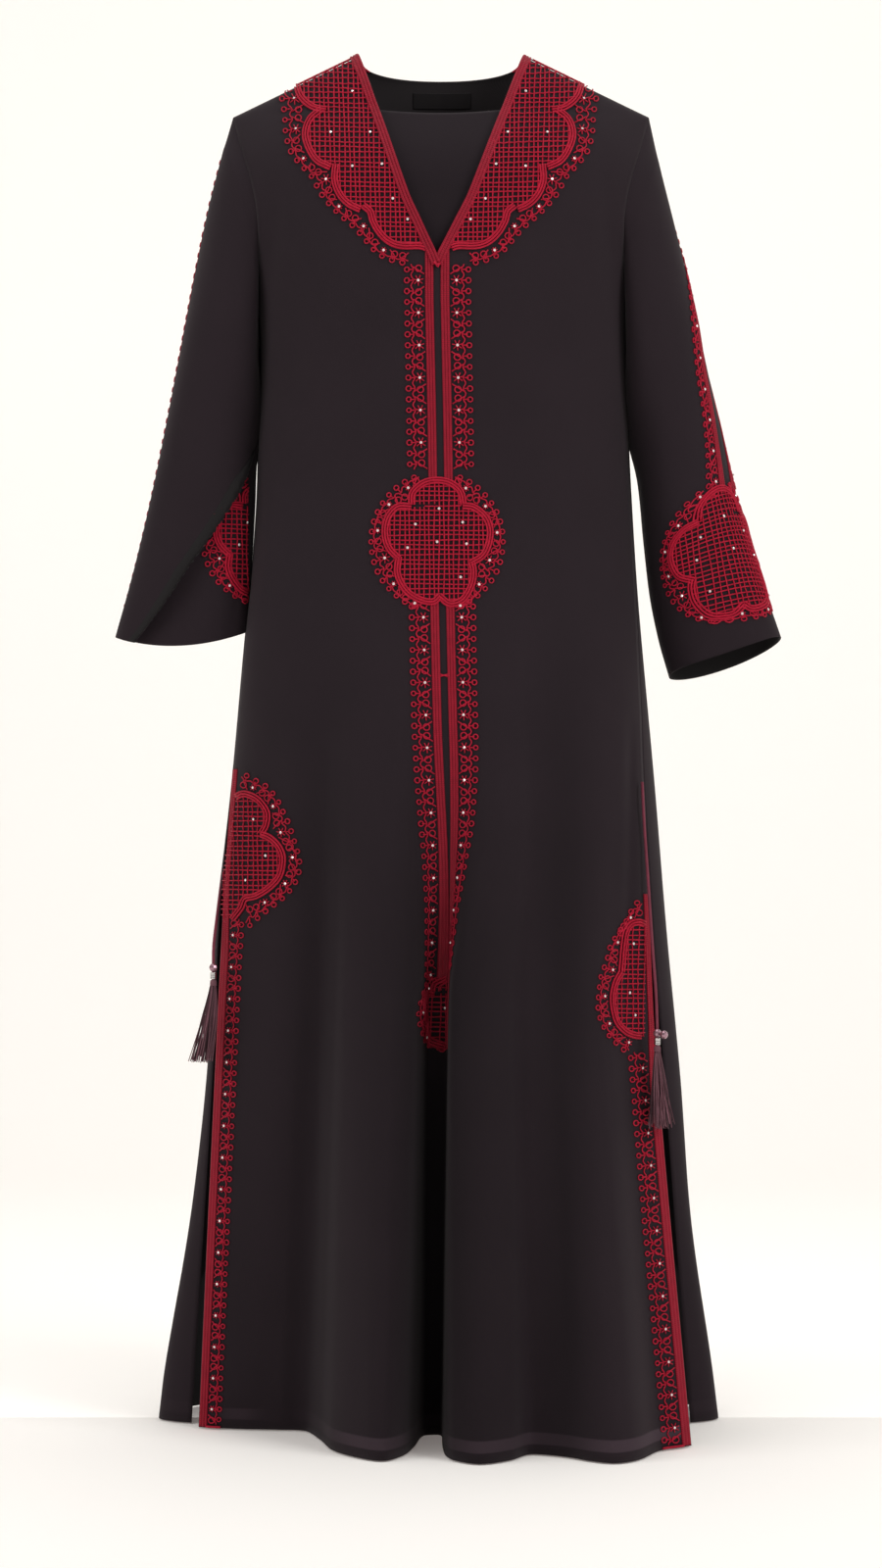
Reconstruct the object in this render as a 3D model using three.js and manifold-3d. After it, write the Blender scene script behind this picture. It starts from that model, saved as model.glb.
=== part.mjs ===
// Kaftan: a floor-length robe on a hollow, worn form, with braid and corded-lace trims, two side cords
// and their tassels. Millimetres, +Z up, the front faces -Y, +X is at the viewer's right.
// The origin lies midway between the two points where the shoulder seams meet the neck.
import * as THREE from "three";
import { mergeVertices } from "three/addons/utils/BufferGeometryUtils.js";
import Module from "manifold-3d";

const wasm = await Module();
wasm.setup();

// ---------------------------------------------------------------- driving dimensions
const WALL = 2; // cloth with its seam allowances
const SEAM = 0.3; // gap between pieces that are sewn together
const ARMHOLE_GAP = 0.45; // the sleeve's first loop stands this far outside the armhole
const LACE = 1.2; // thickness of the corded lace
const BRAID = 1.8; // thickness of the flat braid
const NECK_HALF = 84; // half the neck's width at the shoulder seams
const TIP_X = 212; // half the width across the shoulders
const TIP_Z = -62; // height of the shoulder tips
const V_DEPTH = 222; // depth of the V neck
const BACK_NECK_Y = 70; // how far back the back neckline lies
const BACK_NECK_DROP = 14; // how far the back neckline dips
const CHEST_Z = -150; // height at which the shoulders' rounding ends
const HEM_Z = -1397;
const ROUNDNESS = 2.2; // exponent of the body's superellipse sections
const HEM_LEFT = 247; // half-widths of the front panel at the hem
const HEM_RIGHT = 248;
const CENTRE_BAND = 40; // strip at each side of the centre whose columns keep their width
const EDGE_BAND = 50; // strip along each side edge whose columns keep their width
const BRAID_IN = 3.5; // the placket braid's inner and outer edge from the centre
const BRAID_OUT = 12;
const LACE_OUT = 32; // the placket lace's outer edge from the centre
const FOLD_START = -520; // height at which the skirt's folds begin
const FOLD_GROWTH = 1.6; // how the folds deepen on the way to the hem
const TURN_TOP = -760; // heights between which the centre fold turns its side away
const TURN_END = -960;
const SLIT_LEFT = -672; // tops of the side slits
const SLIT_RIGHT = -738;

const CLOTH = { color: 0x2b2527, roughness: 0.85, metalness: 0 };
const INNER = { color: 0x1d1a1b, roughness: 0.9, metalness: 0 };
const CRIMSON = { color: 0x8f1228, roughness: 0.65, metalness: 0 };
const MAUVE = { color: 0x6b4450, roughness: 0.6, metalness: 0 };
const SILVER = { color: 0xb9b4b2, roughness: 0.3, metalness: 1 };
const BEAD = { color: 0x8a6a72, roughness: 0.25, metalness: 0.6 };

// Body sections: half-width at the left and right, depth of front and back from the middle, place of
// the middle along Y, and the depth of the back panel's lap towards the front.
const BODY = [
  { z: -62, left: 214, right: 214, front: 88, back: 78, mid: 0, lap: 88 },
  { z: -110, left: 213, right: 213, front: 110, back: 96, mid: 0, lap: 110 },
  { z: -160, left: 207, right: 208, front: 120, back: 102, mid: 0, lap: 120 },
  { z: -215, left: 197, right: 199, front: 125, back: 106, mid: 0, lap: 125 },
  { z: -262, left: 187, right: 191, front: 125, back: 106, mid: 0, lap: 125 },
  { z: -330, left: 185, right: 190, front: 124, back: 104, mid: 0, lap: 124 },
  { z: -402, left: 187, right: 192, front: 122, back: 102, mid: 0, lap: 122 },
  { z: -462, left: 189, right: 195, front: 122, back: 104, mid: 0, lap: 122 },
  { z: -542, left: 195, right: 200, front: 124, back: 110, mid: 0, lap: 124 },
  { z: -602, left: 201, right: 205, front: 128, back: 118, mid: 0, lap: 128 },
  { z: -742, left: 214, right: 218, front: 138, back: 132, mid: 5, lap: 138 },
  { z: -892, left: 231, right: 231, front: 152, back: 142, mid: 15, lap: 118 },
  { z: -1042, left: 241, right: 246, front: 170, back: 148, mid: 28, lap: 90 },
  { z: -1192, left: 259, right: 258, front: 188, back: 152, mid: 38, lap: 70 },
  { z: -1342, left: 285, right: 280, front: 205, back: 150, mid: 47, lap: 62 },
  { z: -1397, left: 292, right: 287, front: 212, back: 150, mid: 50, lap: 60 },
];

// Side edges of the front and the back panel, and the sideways drift of the centre line.
const EDGES = [
  { z: -262, frontLeft: 187, frontRight: 191, backLeft: 187, backRight: 191, centre: -4 },
  { z: -402, frontLeft: 187, frontRight: 191, backLeft: 187, backRight: 191, centre: -1 },
  { z: -542, frontLeft: 195, frontRight: 197, backLeft: 195, backRight: 197, centre: 1 },
  { z: -672, frontLeft: 207, frontRight: 202, backLeft: 207, backRight: 202, centre: 4 },
  { z: -738, frontLeft: 212, frontRight: 204, backLeft: 213, backRight: 204, centre: 6 },
  { z: -887, frontLeft: 222, frontRight: 208, backLeft: 226, backRight: 214, centre: 8 },
  { z: -1000, frontLeft: 228, frontRight: 213, backLeft: 231, backRight: 224, centre: 6 },
  { z: -1397, frontLeft: 247, frontRight: 248, backLeft: 256, backRight: 256, centre: 0 },
];

// Armholes: distance of the seam from the middle at each height.
const ARMHOLE = [
  { z: -62, left: 212, right: 212 },
  { z: -86, left: 206, right: 206 },
  { z: -112, left: 198, right: 198 },
  { z: -140, left: 190, right: 190 },
  { z: -168, left: 185, right: 185 },
  { z: -215, left: 183, right: 184 },
  { z: -245, left: 185, right: 187 },
  { z: -262, left: 187, right: 191 },
];

// Front hem: where each column (its distance from the centre in the flat cloth) comes to lie.
const FRONT_HEM = [
  { u: -247, x: -247, y: -6 },
  { u: -244, x: -244, y: -8 },
  { u: -238, x: -238, y: -10 },
  { u: -221, x: -221, y: -14 },
  { u: -197, x: -197, y: -18 },
  { u: -165, x: -165, y: -22 },
  { u: -140, x: -137, y: -32 },
  { u: -124, x: -121, y: -80 },
  { u: -107, x: -107, y: -134 },
  { u: -80, x: -80, y: -168 },
  { u: -55, x: -55, y: -183 },
  { u: -40, x: -36, y: -155 },
  { u: -32, x: -27, y: -115 },
  { u: -12, x: -18, y: -56 },
  { u: -3.5, x: -5, y: -49 },
  { u: 0, x: -1, y: -51 },
  { u: 3.5, x: 1, y: -60 },
  { u: 12, x: 1, y: -88 },
  { u: 22, x: 2, y: -124 },
  { u: 32, x: 5, y: -158 },
  { u: 40, x: 13, y: -180 },
  { u: 60, x: 38, y: -200 },
  { u: 85, x: 68, y: -183 },
  { u: 102, x: 88, y: -156 },
  { u: 123, x: 120, y: -170 },
  { u: 145, x: 144, y: -190 },
  { u: 165, x: 165, y: -197 },
  { u: 182, x: 182, y: -188 },
  { u: 198, x: 196, y: -172 },
  { u: 218, x: 215, y: -134 },
  { u: 238, x: 237, y: -117 },
  { u: 245, x: 245, y: -110 },
  { u: 248, x: 248, y: -107 },
];

// Rows of the panels: height at the side and at the centre of the front, and at the centre of the back.
const ROWS = [
  { side: -62, front: 0, back: -BACK_NECK_DROP },
  { side: -86, front: -32, back: -42 },
  { side: -112, front: -64, back: -72 },
  { side: -140, front: -96, back: -104 },
  { side: -168, front: -128, back: -138 },
  { side: -196, front: -160, back: -172 },
  { side: -222, front: -193, back: -205 },
  { side: -245, front: -V_DEPTH, back: -236 },
  { side: -262, front: -241, back: -258 },
  ...[-300, -350, -395, -436, -503, -571, -622, -672, -705, -738, -790, -840].map(level),
  ...[-885, -932, -1005, -1070, -1135, -1200, -1265, -1330, HEM_Z].map(level),
];
const V_ROW = 7; // the row of the V's lowest point
const ARM_ROW = 8; // the row of the underarm
const SLIT_LEFT_ROW = rowAt(SLIT_LEFT);
const SLIT_RIGHT_ROW = rowAt(SLIT_RIGHT);

// Folds of the back panel at the hem: place round the section, half-width in degrees, depth outwards.
const BACK_FOLDS = [
  { angle: 38, width: 11, depth: 22 },
  { angle: 62, width: 12, depth: -20 },
  { angle: 86, width: 10, depth: 24 },
  { angle: 108, width: 11, depth: -22 },
  { angle: 130, width: 10, depth: 20 },
  { angle: 152, width: 9, depth: -12 },
];

// Sleeve sections: outer-arm point, underarm point, half-depth, how far the middle of the section is
// drawn back towards the body, how far its back hangs lower and how far its front sags.
const SLEEVE_RIGHT = [
  { ox: 222, oz: -108, ix: 192, iz: -285, depth: 61, draw: 12, tilt: 0, sag: 0 },
  { ox: 236, oz: -168, ix: 194, iz: -322, depth: 62, draw: 6, tilt: 0, sag: 0 },
  { ox: 255, oz: -250, ix: 197, iz: -374, depth: 60, draw: 2, tilt: 1, sag: 0 },
  { ox: 275, oz: -340, ix: 201, iz: -432, depth: 57, draw: 0, tilt: 2, sag: 0 },
  { ox: 297, oz: -432, ix: 207, iz: -494, depth: 53, draw: 0, tilt: 4, sag: 0 },
  { ox: 318, oz: -502, ix: 214, iz: -549, depth: 50, draw: 0, tilt: 6, sag: 1 },
  { ox: 333, oz: -549, ix: 223, iz: -592, depth: 48, draw: 0, tilt: 7, sag: 3 },
  { ox: 347, oz: -594, ix: 233, iz: -632, depth: 47, draw: 0, tilt: 8, sag: 4 },
];
// fold: how far along the width, from the underarm to the outer arm, the front is folded under.
const SLEEVE_LEFT = [
  { ox: 222, oz: -96, ix: 190, iz: -285, depth: 60, draw: 12, tilt: 0, sag: 0, fold: 0 },
  { ox: 236, oz: -152, ix: 191, iz: -320, depth: 60, draw: 6, tilt: 0, sag: 0, fold: 0 },
  { ox: 251, oz: -222, ix: 191, iz: -366, depth: 58, draw: 2, tilt: 0, sag: 0, fold: 0 },
  { ox: 266, oz: -297, ix: 192, iz: -412, depth: 55, draw: 0, tilt: 0, sag: 0, fold: 0.02 },
  { ox: 282, oz: -377, ix: 194, iz: -455, depth: 52, draw: 0, tilt: 0, sag: 0, fold: 0.12 },
  { ox: 297, oz: -450, ix: 197, iz: -495, depth: 50, draw: 0, tilt: 0, sag: 2, fold: 0.3 },
  { ox: 311, oz: -512, ix: 201, iz: -530, depth: 48, draw: 0, tilt: -1, sag: 5, fold: 0.52 },
  { ox: 323, oz: -560, ix: 204, iz: -562, depth: 46, draw: 0, tilt: -2, sag: 8, fold: 0.7 },
  { ox: 332, oz: -592, ix: 207, iz: -586, depth: 45, draw: 0, tilt: -3, sag: 11, fold: 0.83 },
];
const SLEEVE_COLUMNS = 28;
const SLEEVE_ROUNDNESS = 2.3;
const FOLD_RETURN = 0.22; // how far, in half-widths, the sleeve's front is tucked under itself
const FOLD_DROP = 13; // distance between the sleeve's front and the layer under the fold
const FOLD_FULL = 0.12; // share of the width from which the fold has its whole depth

// Outer edge of the collar lace at the left, from the shoulder seam down to the V.
const COLLAR_EDGE = [
  { x: -172, z: -20 },
  { x: -161, z: -56 },
  { x: -156, z: -92 },
  { x: -146, z: -116 },
  { x: -131, z: -130 },
  { x: -125, z: -152 },
  { x: -112, z: -167 },
  { x: -101, z: -186 },
  { x: -80, z: -202 },
  { x: -70, z: -215 },
  { x: -55, z: -229 },
  { x: -34, z: -236 },
  { x: 8, z: -236 },
];

// Medallions: centre, half-width and half-height of the five-lobed outline, turn of its top lobe.
const WAIST = { x: -4, z: -503, a: 68, b: 66, turn: 90 };
const LOWER = { x: 4, z: -969, a: 35, b: 35, turn: 90 };
const HIP_LEFT = { x: -206, z: -812, a: 70, b: 78, turn: 0 };
const HIP_RIGHT = { x: 214, z: -936, a: 66, b: 78, turn: 180 };
const SLEEVE_MEDALLION = { x: 212, z: -521, a: 60, b: 73, turn: 90 };
const TUCKED_MEDALLION = { x: -186, z: -494, a: 66, b: 66, turn: 90 };
const SLEEVE_VIEW = 40; // degrees from the front to the direction in which the sleeve's medallion faces

// Cords: their path from the exit at the side seam to the bead, and the place of bead and tassel.
const CORD_RADIUS = 1.5;
const CORD_SIDES = 8;
const CORD_STEPS = 28;
const CORD_RIGHT = [
  [201.5, -67, -740],
  [203, -74, -780],
  [206, -80, -830],
  [210, -92, -900],
  [213, -104, -950],
  [214, -109, -984],
];
const CORD_LEFT = [
  [-210.5, 12, -676],
  [-213, 16, -700],
  [-218.5, 14, -760],
  [-225.5, 6, -820],
  [-228, -22, -870],
  [-229, -44, -903],
  [-229, -52, -922],
];
const BEAD_RADIUS = 4.3;
const COLLET_RADIUS = 3.2; // silver sleeve under the bead
const COLLET_LENGTH = 7;
const TASSEL_LENGTH = 84;
const STRAND_RADIUS = 0.75;
// Strands of a tassel: rings of them, their number, radius under the head and at the tips.
const STRANDS = [
  { count: 14, top: 4.6, tip: 14, turn: 0 },
  { count: 9, top: 2.9, tip: 9, turn: 0.3 },
  { count: 4, top: 1.3, tip: 4, turn: 0.6 },
];

// ---------------------------------------------------------------- small helpers
function level(z) {
  return { side: z, front: z, back: z };
}

function rowAt(z) {
  return ROWS.findIndex((row) => row.side === z);
}

const lerp = (a, b, t) => a + (b - a) * t;
const clamp01 = (t) => Math.min(1, Math.max(0, t));
const smooth = (t) => t * t * (3 - 2 * t);
const add = (p, n, d) => [p[0] + n[0] * d, p[1] + n[1] * d, p[2] + n[2] * d];
const distance = (p, q) => Math.hypot(p[0] - q[0], p[1] - q[1], p[2] - q[2]);
const radians = THREE.MathUtils.degToRad;

// Value of one column of a table at a key, along a smooth curve through the rows.
function look(table, key, at, column) {
  const down = table[0][key] > table[table.length - 1][key];
  const last = table.length - 1;
  let i = table.findIndex((row) => (down ? row[key] <= at : row[key] >= at));
  if (i === 0) return table[0][column];
  if (i < 0) return table[last][column];
  const [p0, p1, p2, p3] = [Math.max(i - 2, 0), i - 1, i, Math.min(i + 1, last)].map((k) => table[k]);
  const step = p2[key] - p1[key];
  const t = (at - p1[key]) / step;
  const slope = (a, b) => ((b[column] - a[column]) / (b[key] - a[key])) * step;
  const m1 = slope(p0, p2);
  const m2 = slope(p1, p3);
  const rise = p2[column] - p1[column];
  const calm = (m) => (m * rise <= 0 ? 0 : Math.sign(m) * Math.min(Math.abs(m), 3 * Math.abs(rise)));
  const [a, b] = [calm(m1), calm(m2)];
  const h = t * t * (3 - 2 * t);
  return p1[column] + rise * h + a * t * (1 - t) * (1 - t) - b * t * t * (1 - t);
}

const body = (z, column) => look(BODY, "z", z, column);
const armhole = (z, right) => look(ARMHOLE, "z", z, right ? "right" : "left");
const edge = (z, column) => look(EDGES, "z", z, column);
const power = (v, e) => Math.sign(v) * Math.abs(v) ** e;

// ---------------------------------------------------------------- sheets of cloth
// A sheet is a list of points with a list of triangles that face outwards.
function sheetOf(points, triangles) {
  const normals = points.map(() => new THREE.Vector3());
  const corner = points.map((p) => new THREE.Vector3(...p));
  for (const [a, b, c] of triangles) {
    const n = new THREE.Vector3()
      .subVectors(corner[b], corner[a])
      .cross(new THREE.Vector3().subVectors(corner[c], corner[a]));
    for (const i of [a, b, c]) normals[i].add(n);
  }
  return { points, triangles, normals: normals.map((n) => n.normalize().toArray()) };
}

// Two triangles for each cell of a grid, for the cells that a test keeps.
function gridTriangles(index, rows, columns, flip = false, keep = () => true) {
  const triangles = [];
  for (let r = 0; r < rows - 1; r++) {
    for (let c = 0; c < columns - 1; c++) {
      if (!keep(r, c)) continue;
      const [a, b, d, e] = [index(r, c), index(r, c + 1), index(r + 1, c), index(r + 1, c + 1)];
      triangles.push(flip ? [a, b, d] : [a, d, b], flip ? [b, e, d] : [b, d, e]);
    }
  }
  return triangles;
}

// Closed solid between the sheet's points moved by low and by high along their normals. Its outline
// is drawn in by inset.
function thicken(sheet, low, high, triangles = sheet.triangles, inset = 0) {
  const used = [...new Set(triangles.flat())];
  const place = new Map(used.map((v, i) => [v, i]));
  const count = used.length;
  const faces = [];
  const open = new Map();
  for (const triangle of triangles) {
    const [a, b, c] = triangle.map((v) => place.get(v));
    faces.push([a, b, c], [a + count, c + count, b + count]);
    for (const [i, j] of [[a, b], [b, c], [c, a]]) {
      if (!open.delete(`${j},${i}`)) open.set(`${i},${j}`, [i, j]);
    }
  }
  const inward = used.map(() => new THREE.Vector3());
  for (const [i, j] of open.values()) {
    faces.push([i, i + count, j], [j, i + count, j + count]);
    const [p, q] = [i, j].map((k) => new THREE.Vector3(...sheet.points[used[k]]));
    for (const k of [i, j]) {
      const normal = new THREE.Vector3(...sheet.normals[used[k]]);
      inward[k].add(normal.cross(new THREE.Vector3().subVectors(q, p).normalize()));
    }
  }
  const value = (d, v) => (typeof d === "function" ? d(v) : d);
  const moved = (d) =>
    used.map((v, k) => {
      const drawn = add(sheet.points[v], inward[k].clone().normalize().toArray(), inset);
      return add(drawn, sheet.normals[v], value(d, v));
    });
  return solid([...moved(high), ...moved(low)], faces);
}

function solid(points, faces) {
  const geometry = new THREE.BufferGeometry();
  geometry.setAttribute("position", new THREE.Float32BufferAttribute(points.flat(), 3));
  geometry.setIndex(faces.flat());
  return geometry;
}

function manifoldOf(geometry) {
  const bare = geometry.clone();
  bare.deleteAttribute("normal");
  bare.deleteAttribute("uv");
  const merged = mergeVertices(bare, 1e-4);
  const data = {
    numProp: 3,
    vertProperties: new Float32Array(merged.attributes.position.array),
    triVerts: new Uint32Array(merged.index.array),
  };
  return new wasm.Manifold(new wasm.Mesh(data));
}

function geometryOf(manifold) {
  const { vertProperties, triVerts } = manifold.getMesh();
  const geometry = new THREE.BufferGeometry();
  geometry.setAttribute("position", new THREE.BufferAttribute(vertProperties, 3));
  geometry.setIndex(new THREE.BufferAttribute(triVerts, 1));
  return geometry;
}

// ---------------------------------------------------------------- front and back panels
// Superellipse factor: depth share at a distance x from the middle of a section of half-width w.
const depthShare = (x, w) => (1 - clamp01(Math.abs(x) / w) ** ROUNDNESS) ** (1 / ROUNDNESS);

const shoulderZ = (x) => (TIP_Z * Math.max(0, Math.abs(x) - NECK_HALF)) / (TIP_X - NECK_HALF);

// Quarter-ellipse share of the depth reached at z below a start height.
function rounding(top, z) {
  const t = clamp01((top - z) / (top - CHEST_Z));
  return Math.sqrt(1 - (1 - t) ** 2);
}

// Place of a column in a row of another width: the centre and edge bands keep their own width.
function columnPlace(column, hemWidth, width) {
  if (column <= CENTRE_BAND) return column;
  const band = hemWidth - EDGE_BAND;
  if (column >= band) return width - (hemWidth - column);
  return CENTRE_BAND + ((column - CENTRE_BAND) * (width - EDGE_BAND - CENTRE_BAND)) / (band - CENTRE_BAND);
}

// Front panel at a column (signed, in hem measure) and a row.
function frontPoint(column, row) {
  const { side, front: centre } = ROWS[row];
  const sign = Math.sign(column);
  const right = column > 0;
  const hem = right ? HEM_RIGHT : HEM_LEFT;
  const outer = row <= ARM_ROW ? armhole(side, right) : edge(side, right ? "frontRight" : "frontLeft");
  const inner = NECK_HALF * Math.max(0, 1 + centre / V_DEPTH);
  const across = columnPlace(Math.abs(column), hem, outer - inner);
  const u = inner + across;
  const z = lerp(centre, side, across / (outer - inner));
  return frontAt(sign, u, z, column);
}

function frontAt(sign, u, z, column) {
  const width = body(z, sign > 0 ? "right" : "left");
  const share = depthShare(u, width) * rounding(shoulderZ(u), z);
  const calm = body(z, "mid") - body(z, "front") * share;
  const grown = clamp01((FOLD_START - z) / (FOLD_START - HEM_Z)) ** FOLD_GROWTH;
  const turned = smooth(clamp01((TURN_TOP - z) / (TURN_TOP - TURN_END)));
  const drift = edge(z, "centre") * (1 - clamp01(u / width)) * clamp01(-z / V_DEPTH);
  const shift = (look(FRONT_HEM, "u", column, "x") - column) * turned;
  const y = lerp(calm, look(FRONT_HEM, "u", column, "y"), grown);
  return [sign * u + drift + shift, y, z];
}

// Front: two halves that share the centre column from the V's point down.
const FRONT_COLUMNS = FRONT_HEM.map((row) => row.u);
const CENTRE = FRONT_COLUMNS.indexOf(0);

function frontSheet() {
  const points = [];
  const left = [];
  const right = [];
  for (let r = 0; r < ROWS.length; r++) {
    const row = FRONT_COLUMNS.map((u) => {
      const side = u === 0 ? -1e-9 : u;
      points.push(frontPoint(side, r));
      return points.length - 1;
    });
    let twin = row[CENTRE];
    if (r < V_ROW) {
      points.push(frontPoint(1e-9, r));
      twin = points.length - 1;
    }
    left.push(row.slice(0, CENTRE + 1));
    right.push([twin, ...row.slice(CENTRE + 1)]);
  }
  const index = (r, c) => (c <= CENTRE ? left[r][c] : right[r][c - CENTRE]);
  const triangles = [
    ...gridTriangles((r, c) => left[r][c], ROWS.length, left[0].length),
    ...gridTriangles((r, c) => right[r][c], ROWS.length, right[0].length),
  ];
  const sheet = sheetOf(points, triangles);
  const lastColumn = FRONT_COLUMNS.length - 1;
  matchSeams(sheet, (r, side) => index(r, side < 0 ? 0 : lastColumn), -1);
  for (let c = 0; c <= lastColumn; c++) shoulderEdge(sheet, index(0, c), -1);
  shoulderEdge(sheet, right[0][0], -1);
  return { ...sheet, left, right, index };
}

// Cells of the front between two columns, each given by its flat distance from the centre.
function frontCells(sheet, fromU, toU, fromRow, toRow) {
  const pick = (half, first) =>
    gridTriangles((r, c) => half[r][c], ROWS.length, half[0].length, false, (r, c) => {
      const low = FRONT_COLUMNS[first + c];
      const high = FRONT_COLUMNS[first + c + 1];
      return r >= fromRow && r < toRow && low >= fromU && high <= toU;
    });
  return [...pick(sheet.left, 0), ...pick(sheet.right, CENTRE)];
}

// Angle round the section at which the panel's edge lies, past the side towards the front.
function edgeAngle(row, side, panel) {
  const z = ROWS[row].side;
  const width = body(z, side < 0 ? "left" : "right");
  const x = row <= ARM_ROW ? armhole(z, side > 0) : edge(z, panel + (side < 0 ? "Left" : "Right"));
  const angle = Math.acos(clamp01(x / width) ** (ROUNDNESS / 2));
  return row < ARM_ROW ? angle : -angle;
}

// Back panel at an angle round the section, 0 at the right side, 180 degrees at the left.
function backPoint(angle, row) {
  const { side, back: centre } = ROWS[row];
  const cos = Math.cos(angle);
  const sin = Math.sin(angle);
  const width = body(side, cos < 0 ? "left" : "right");
  const x = width * power(cos, 2 / ROUNDNESS);
  const reach = row <= ARM_ROW ? armhole(side, cos > 0) : width;
  const z = lerp(centre, side, clamp01(Math.abs(x) / reach) ** 2);
  const neck = Math.sqrt(Math.max(0, 1 - (x / NECK_HALF) ** 2));
  const start = { y: BACK_NECK_Y * neck, z: shoulderZ(x) - BACK_NECK_DROP * neck };
  const height = row === 0 ? start.z : z;
  const grown = clamp01((FOLD_START - z) / (FOLD_START - HEM_Z)) ** FOLD_GROWTH;
  let fold = 0;
  for (const { angle: at, width: half, depth } of BACK_FOLDS) {
    fold += depth * Math.exp(-(((THREE.MathUtils.radToDeg(angle) - at) / half) ** 2));
  }
  const depth = sin < 0 ? body(side, "lap") : body(side, "back") + fold * grown;
  const full = depth * power(sin, 2 / ROUNDNESS);
  const y = sin < 0 ? full : lerp(start.y, full, rounding(start.z, height));
  return [x, body(side, "mid") + y, height];
}

// Places of the back's columns: distances from both edges, and shares of the length between them.
const BACK_EDGE_OFFSETS = [0, 3, 10, 28];
const BACK_SHARES = [0.05, 0.1, 0.155, 0.21, 0.2603, 0.31, 0.36, 0.41, 0.455, 0.5];

function arcColumns(length) {
  const band = BACK_EDGE_OFFSETS[BACK_EDGE_OFFSETS.length - 1];
  const half = [...BACK_EDGE_OFFSETS, ...BACK_SHARES.map((s) => band + s * (length - 2 * band))];
  return [...half, ...half.slice(0, -1).reverse().map((d) => length - d)];
}

// Points at given distances along a polyline.
function along(line, distances) {
  const reached = [0];
  for (let i = 1; i < line.length; i++) reached.push(reached[i - 1] + distance(line[i - 1], line[i]));
  const total = reached[reached.length - 1];
  return distances(total).map((far) => {
    let i = reached.findIndex((d) => d >= far - 1e-9);
    i = Math.max(1, i < 0 ? line.length - 1 : i);
    const t = clamp01((far - reached[i - 1]) / (reached[i] - reached[i - 1]));
    return line[i - 1].map((v, k) => lerp(v, line[i][k], t));
  });
}

const BACK_SAMPLES = 160;

function backSheet() {
  const points = [];
  const columns = arcColumns(1).length;
  for (let r = 0; r < ROWS.length; r++) {
    const from = edgeAngle(r, 1, "back");
    const to = Math.PI - edgeAngle(r, -1, "back");
    const line = Array.from({ length: BACK_SAMPLES + 1 }, (_, i) =>
      backPoint(lerp(from, to, i / BACK_SAMPLES), r),
    );
    points.push(...along(line, arcColumns));
  }
  const index = (r, c) => r * columns + c;
  const sheet = sheetOf(points, gridTriangles(index, ROWS.length, columns));
  matchSeams(sheet, (r, side) => index(r, side < 0 ? columns - 1 : 0), 1);
  for (let c = 0; c < columns; c++) {
    if (Math.abs(points[index(0, c)][0]) >= NECK_HALF - 1) shoulderEdge(sheet, index(0, c), 1);
  }
  return { ...sheet, index, columns };
}

// Sewn side edges: both panels take the same point and normal, half a seam apart.
function matchSeams(sheet, vertex, way) {
  for (const side of [-1, 1]) {
    const end = side < 0 ? SLIT_LEFT_ROW : SLIT_RIGHT_ROW;
    for (let r = ARM_ROW; r <= end; r++) {
      const angle = edgeAngle(r, side, "back");
      const at = (a, row) => new THREE.Vector3(...backPoint(side < 0 ? Math.PI - a : a, row));
      const here = at(angle, r);
      const round = new THREE.Vector3().subVectors(at(angle + 0.02, r), at(angle - 0.02, r)).normalize();
      const down = new THREE.Vector3().subVectors(at(angle, r + 1), at(angle, r)).normalize();
      const normal = new THREE.Vector3().crossVectors(round, down).normalize();
      if (normal.x * side < 0) normal.negate();
      const apart = new THREE.Vector3().crossVectors(normal, down).normalize();
      if (apart.y < 0) apart.negate();
      const v = vertex(r, side);
      sheet.points[v] = here.addScaledVector(apart, (way * SEAM) / 2).toArray();
      sheet.normals[v] = normal.toArray();
    }
  }
}

// Shoulder seam: the cloth's edge stands half a seam from the middle and its normal has no Y part.
function shoulderEdge(sheet, vertex, way) {
  const slope = TIP_Z / (TIP_X - NECK_HALF);
  const side = Math.sign(sheet.points[vertex][0]);
  sheet.points[vertex][1] = (way * SEAM) / 2;
  sheet.normals[vertex] = new THREE.Vector3(-slope * side, 0, 1).normalize().toArray();
}

const front = frontSheet();
const back = backSheet();

// ---------------------------------------------------------------- sleeves
// Armhole loop from the shoulder tip down the front to the underarm and up the back.
function armholeLoop(side) {
  const frontColumn = side < 0 ? 0 : FRONT_COLUMNS.length - 1;
  const backColumn = side < 0 ? back.columns - 1 : 0;
  const loop = [];
  for (let r = 0; r <= ARM_ROW; r++) loop.push(front.points[front.index(r, frontColumn)]);
  for (let r = ARM_ROW - 1; r > 0; r--) loop.push(back.points[back.index(r, backColumn)]);
  return loop.map(([x, y, z], i) => [x + side * ARMHOLE_GAP, i % ARM_ROW ? y : 0, z]);
}

// Point of a sleeve section at an angle: 0 on the outer arm, 90 degrees in front, 180 at the underarm.
function sectionPoint(side, section, angle) {
  const across = power(Math.cos(angle), 2 / SLEEVE_ROUNDNESS);
  const forward = power(Math.sin(angle), 2 / SLEEVE_ROUNDNESS);
  return sectionAt(side, section, across, forward);
}

function sectionAt(side, { ox, oz, ix, iz, depth, draw, tilt, sag }, across, forward) {
  const x = (ox + ix) / 2 + ((ox - ix) / 2) * across - draw * forward ** 2;
  const z = (oz + iz) / 2 + ((oz - iz) / 2) * across + tilt * forward - sag * (1 - across ** 2);
  return [side * x, -depth * forward, z];
}

function plainRing(side, section) {
  return Array.from({ length: SLEEVE_COLUMNS }, (_, i) =>
    sectionPoint(side, section, (2 * Math.PI * i) / SLEEVE_COLUMNS),
  );
}

// Section whose front is folded under itself: outer layer, tuck, then the layer below it.
const FRONT_LAYER = 8; // points of the outer layer
const TUCK = 3; // points of the tuck

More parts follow.
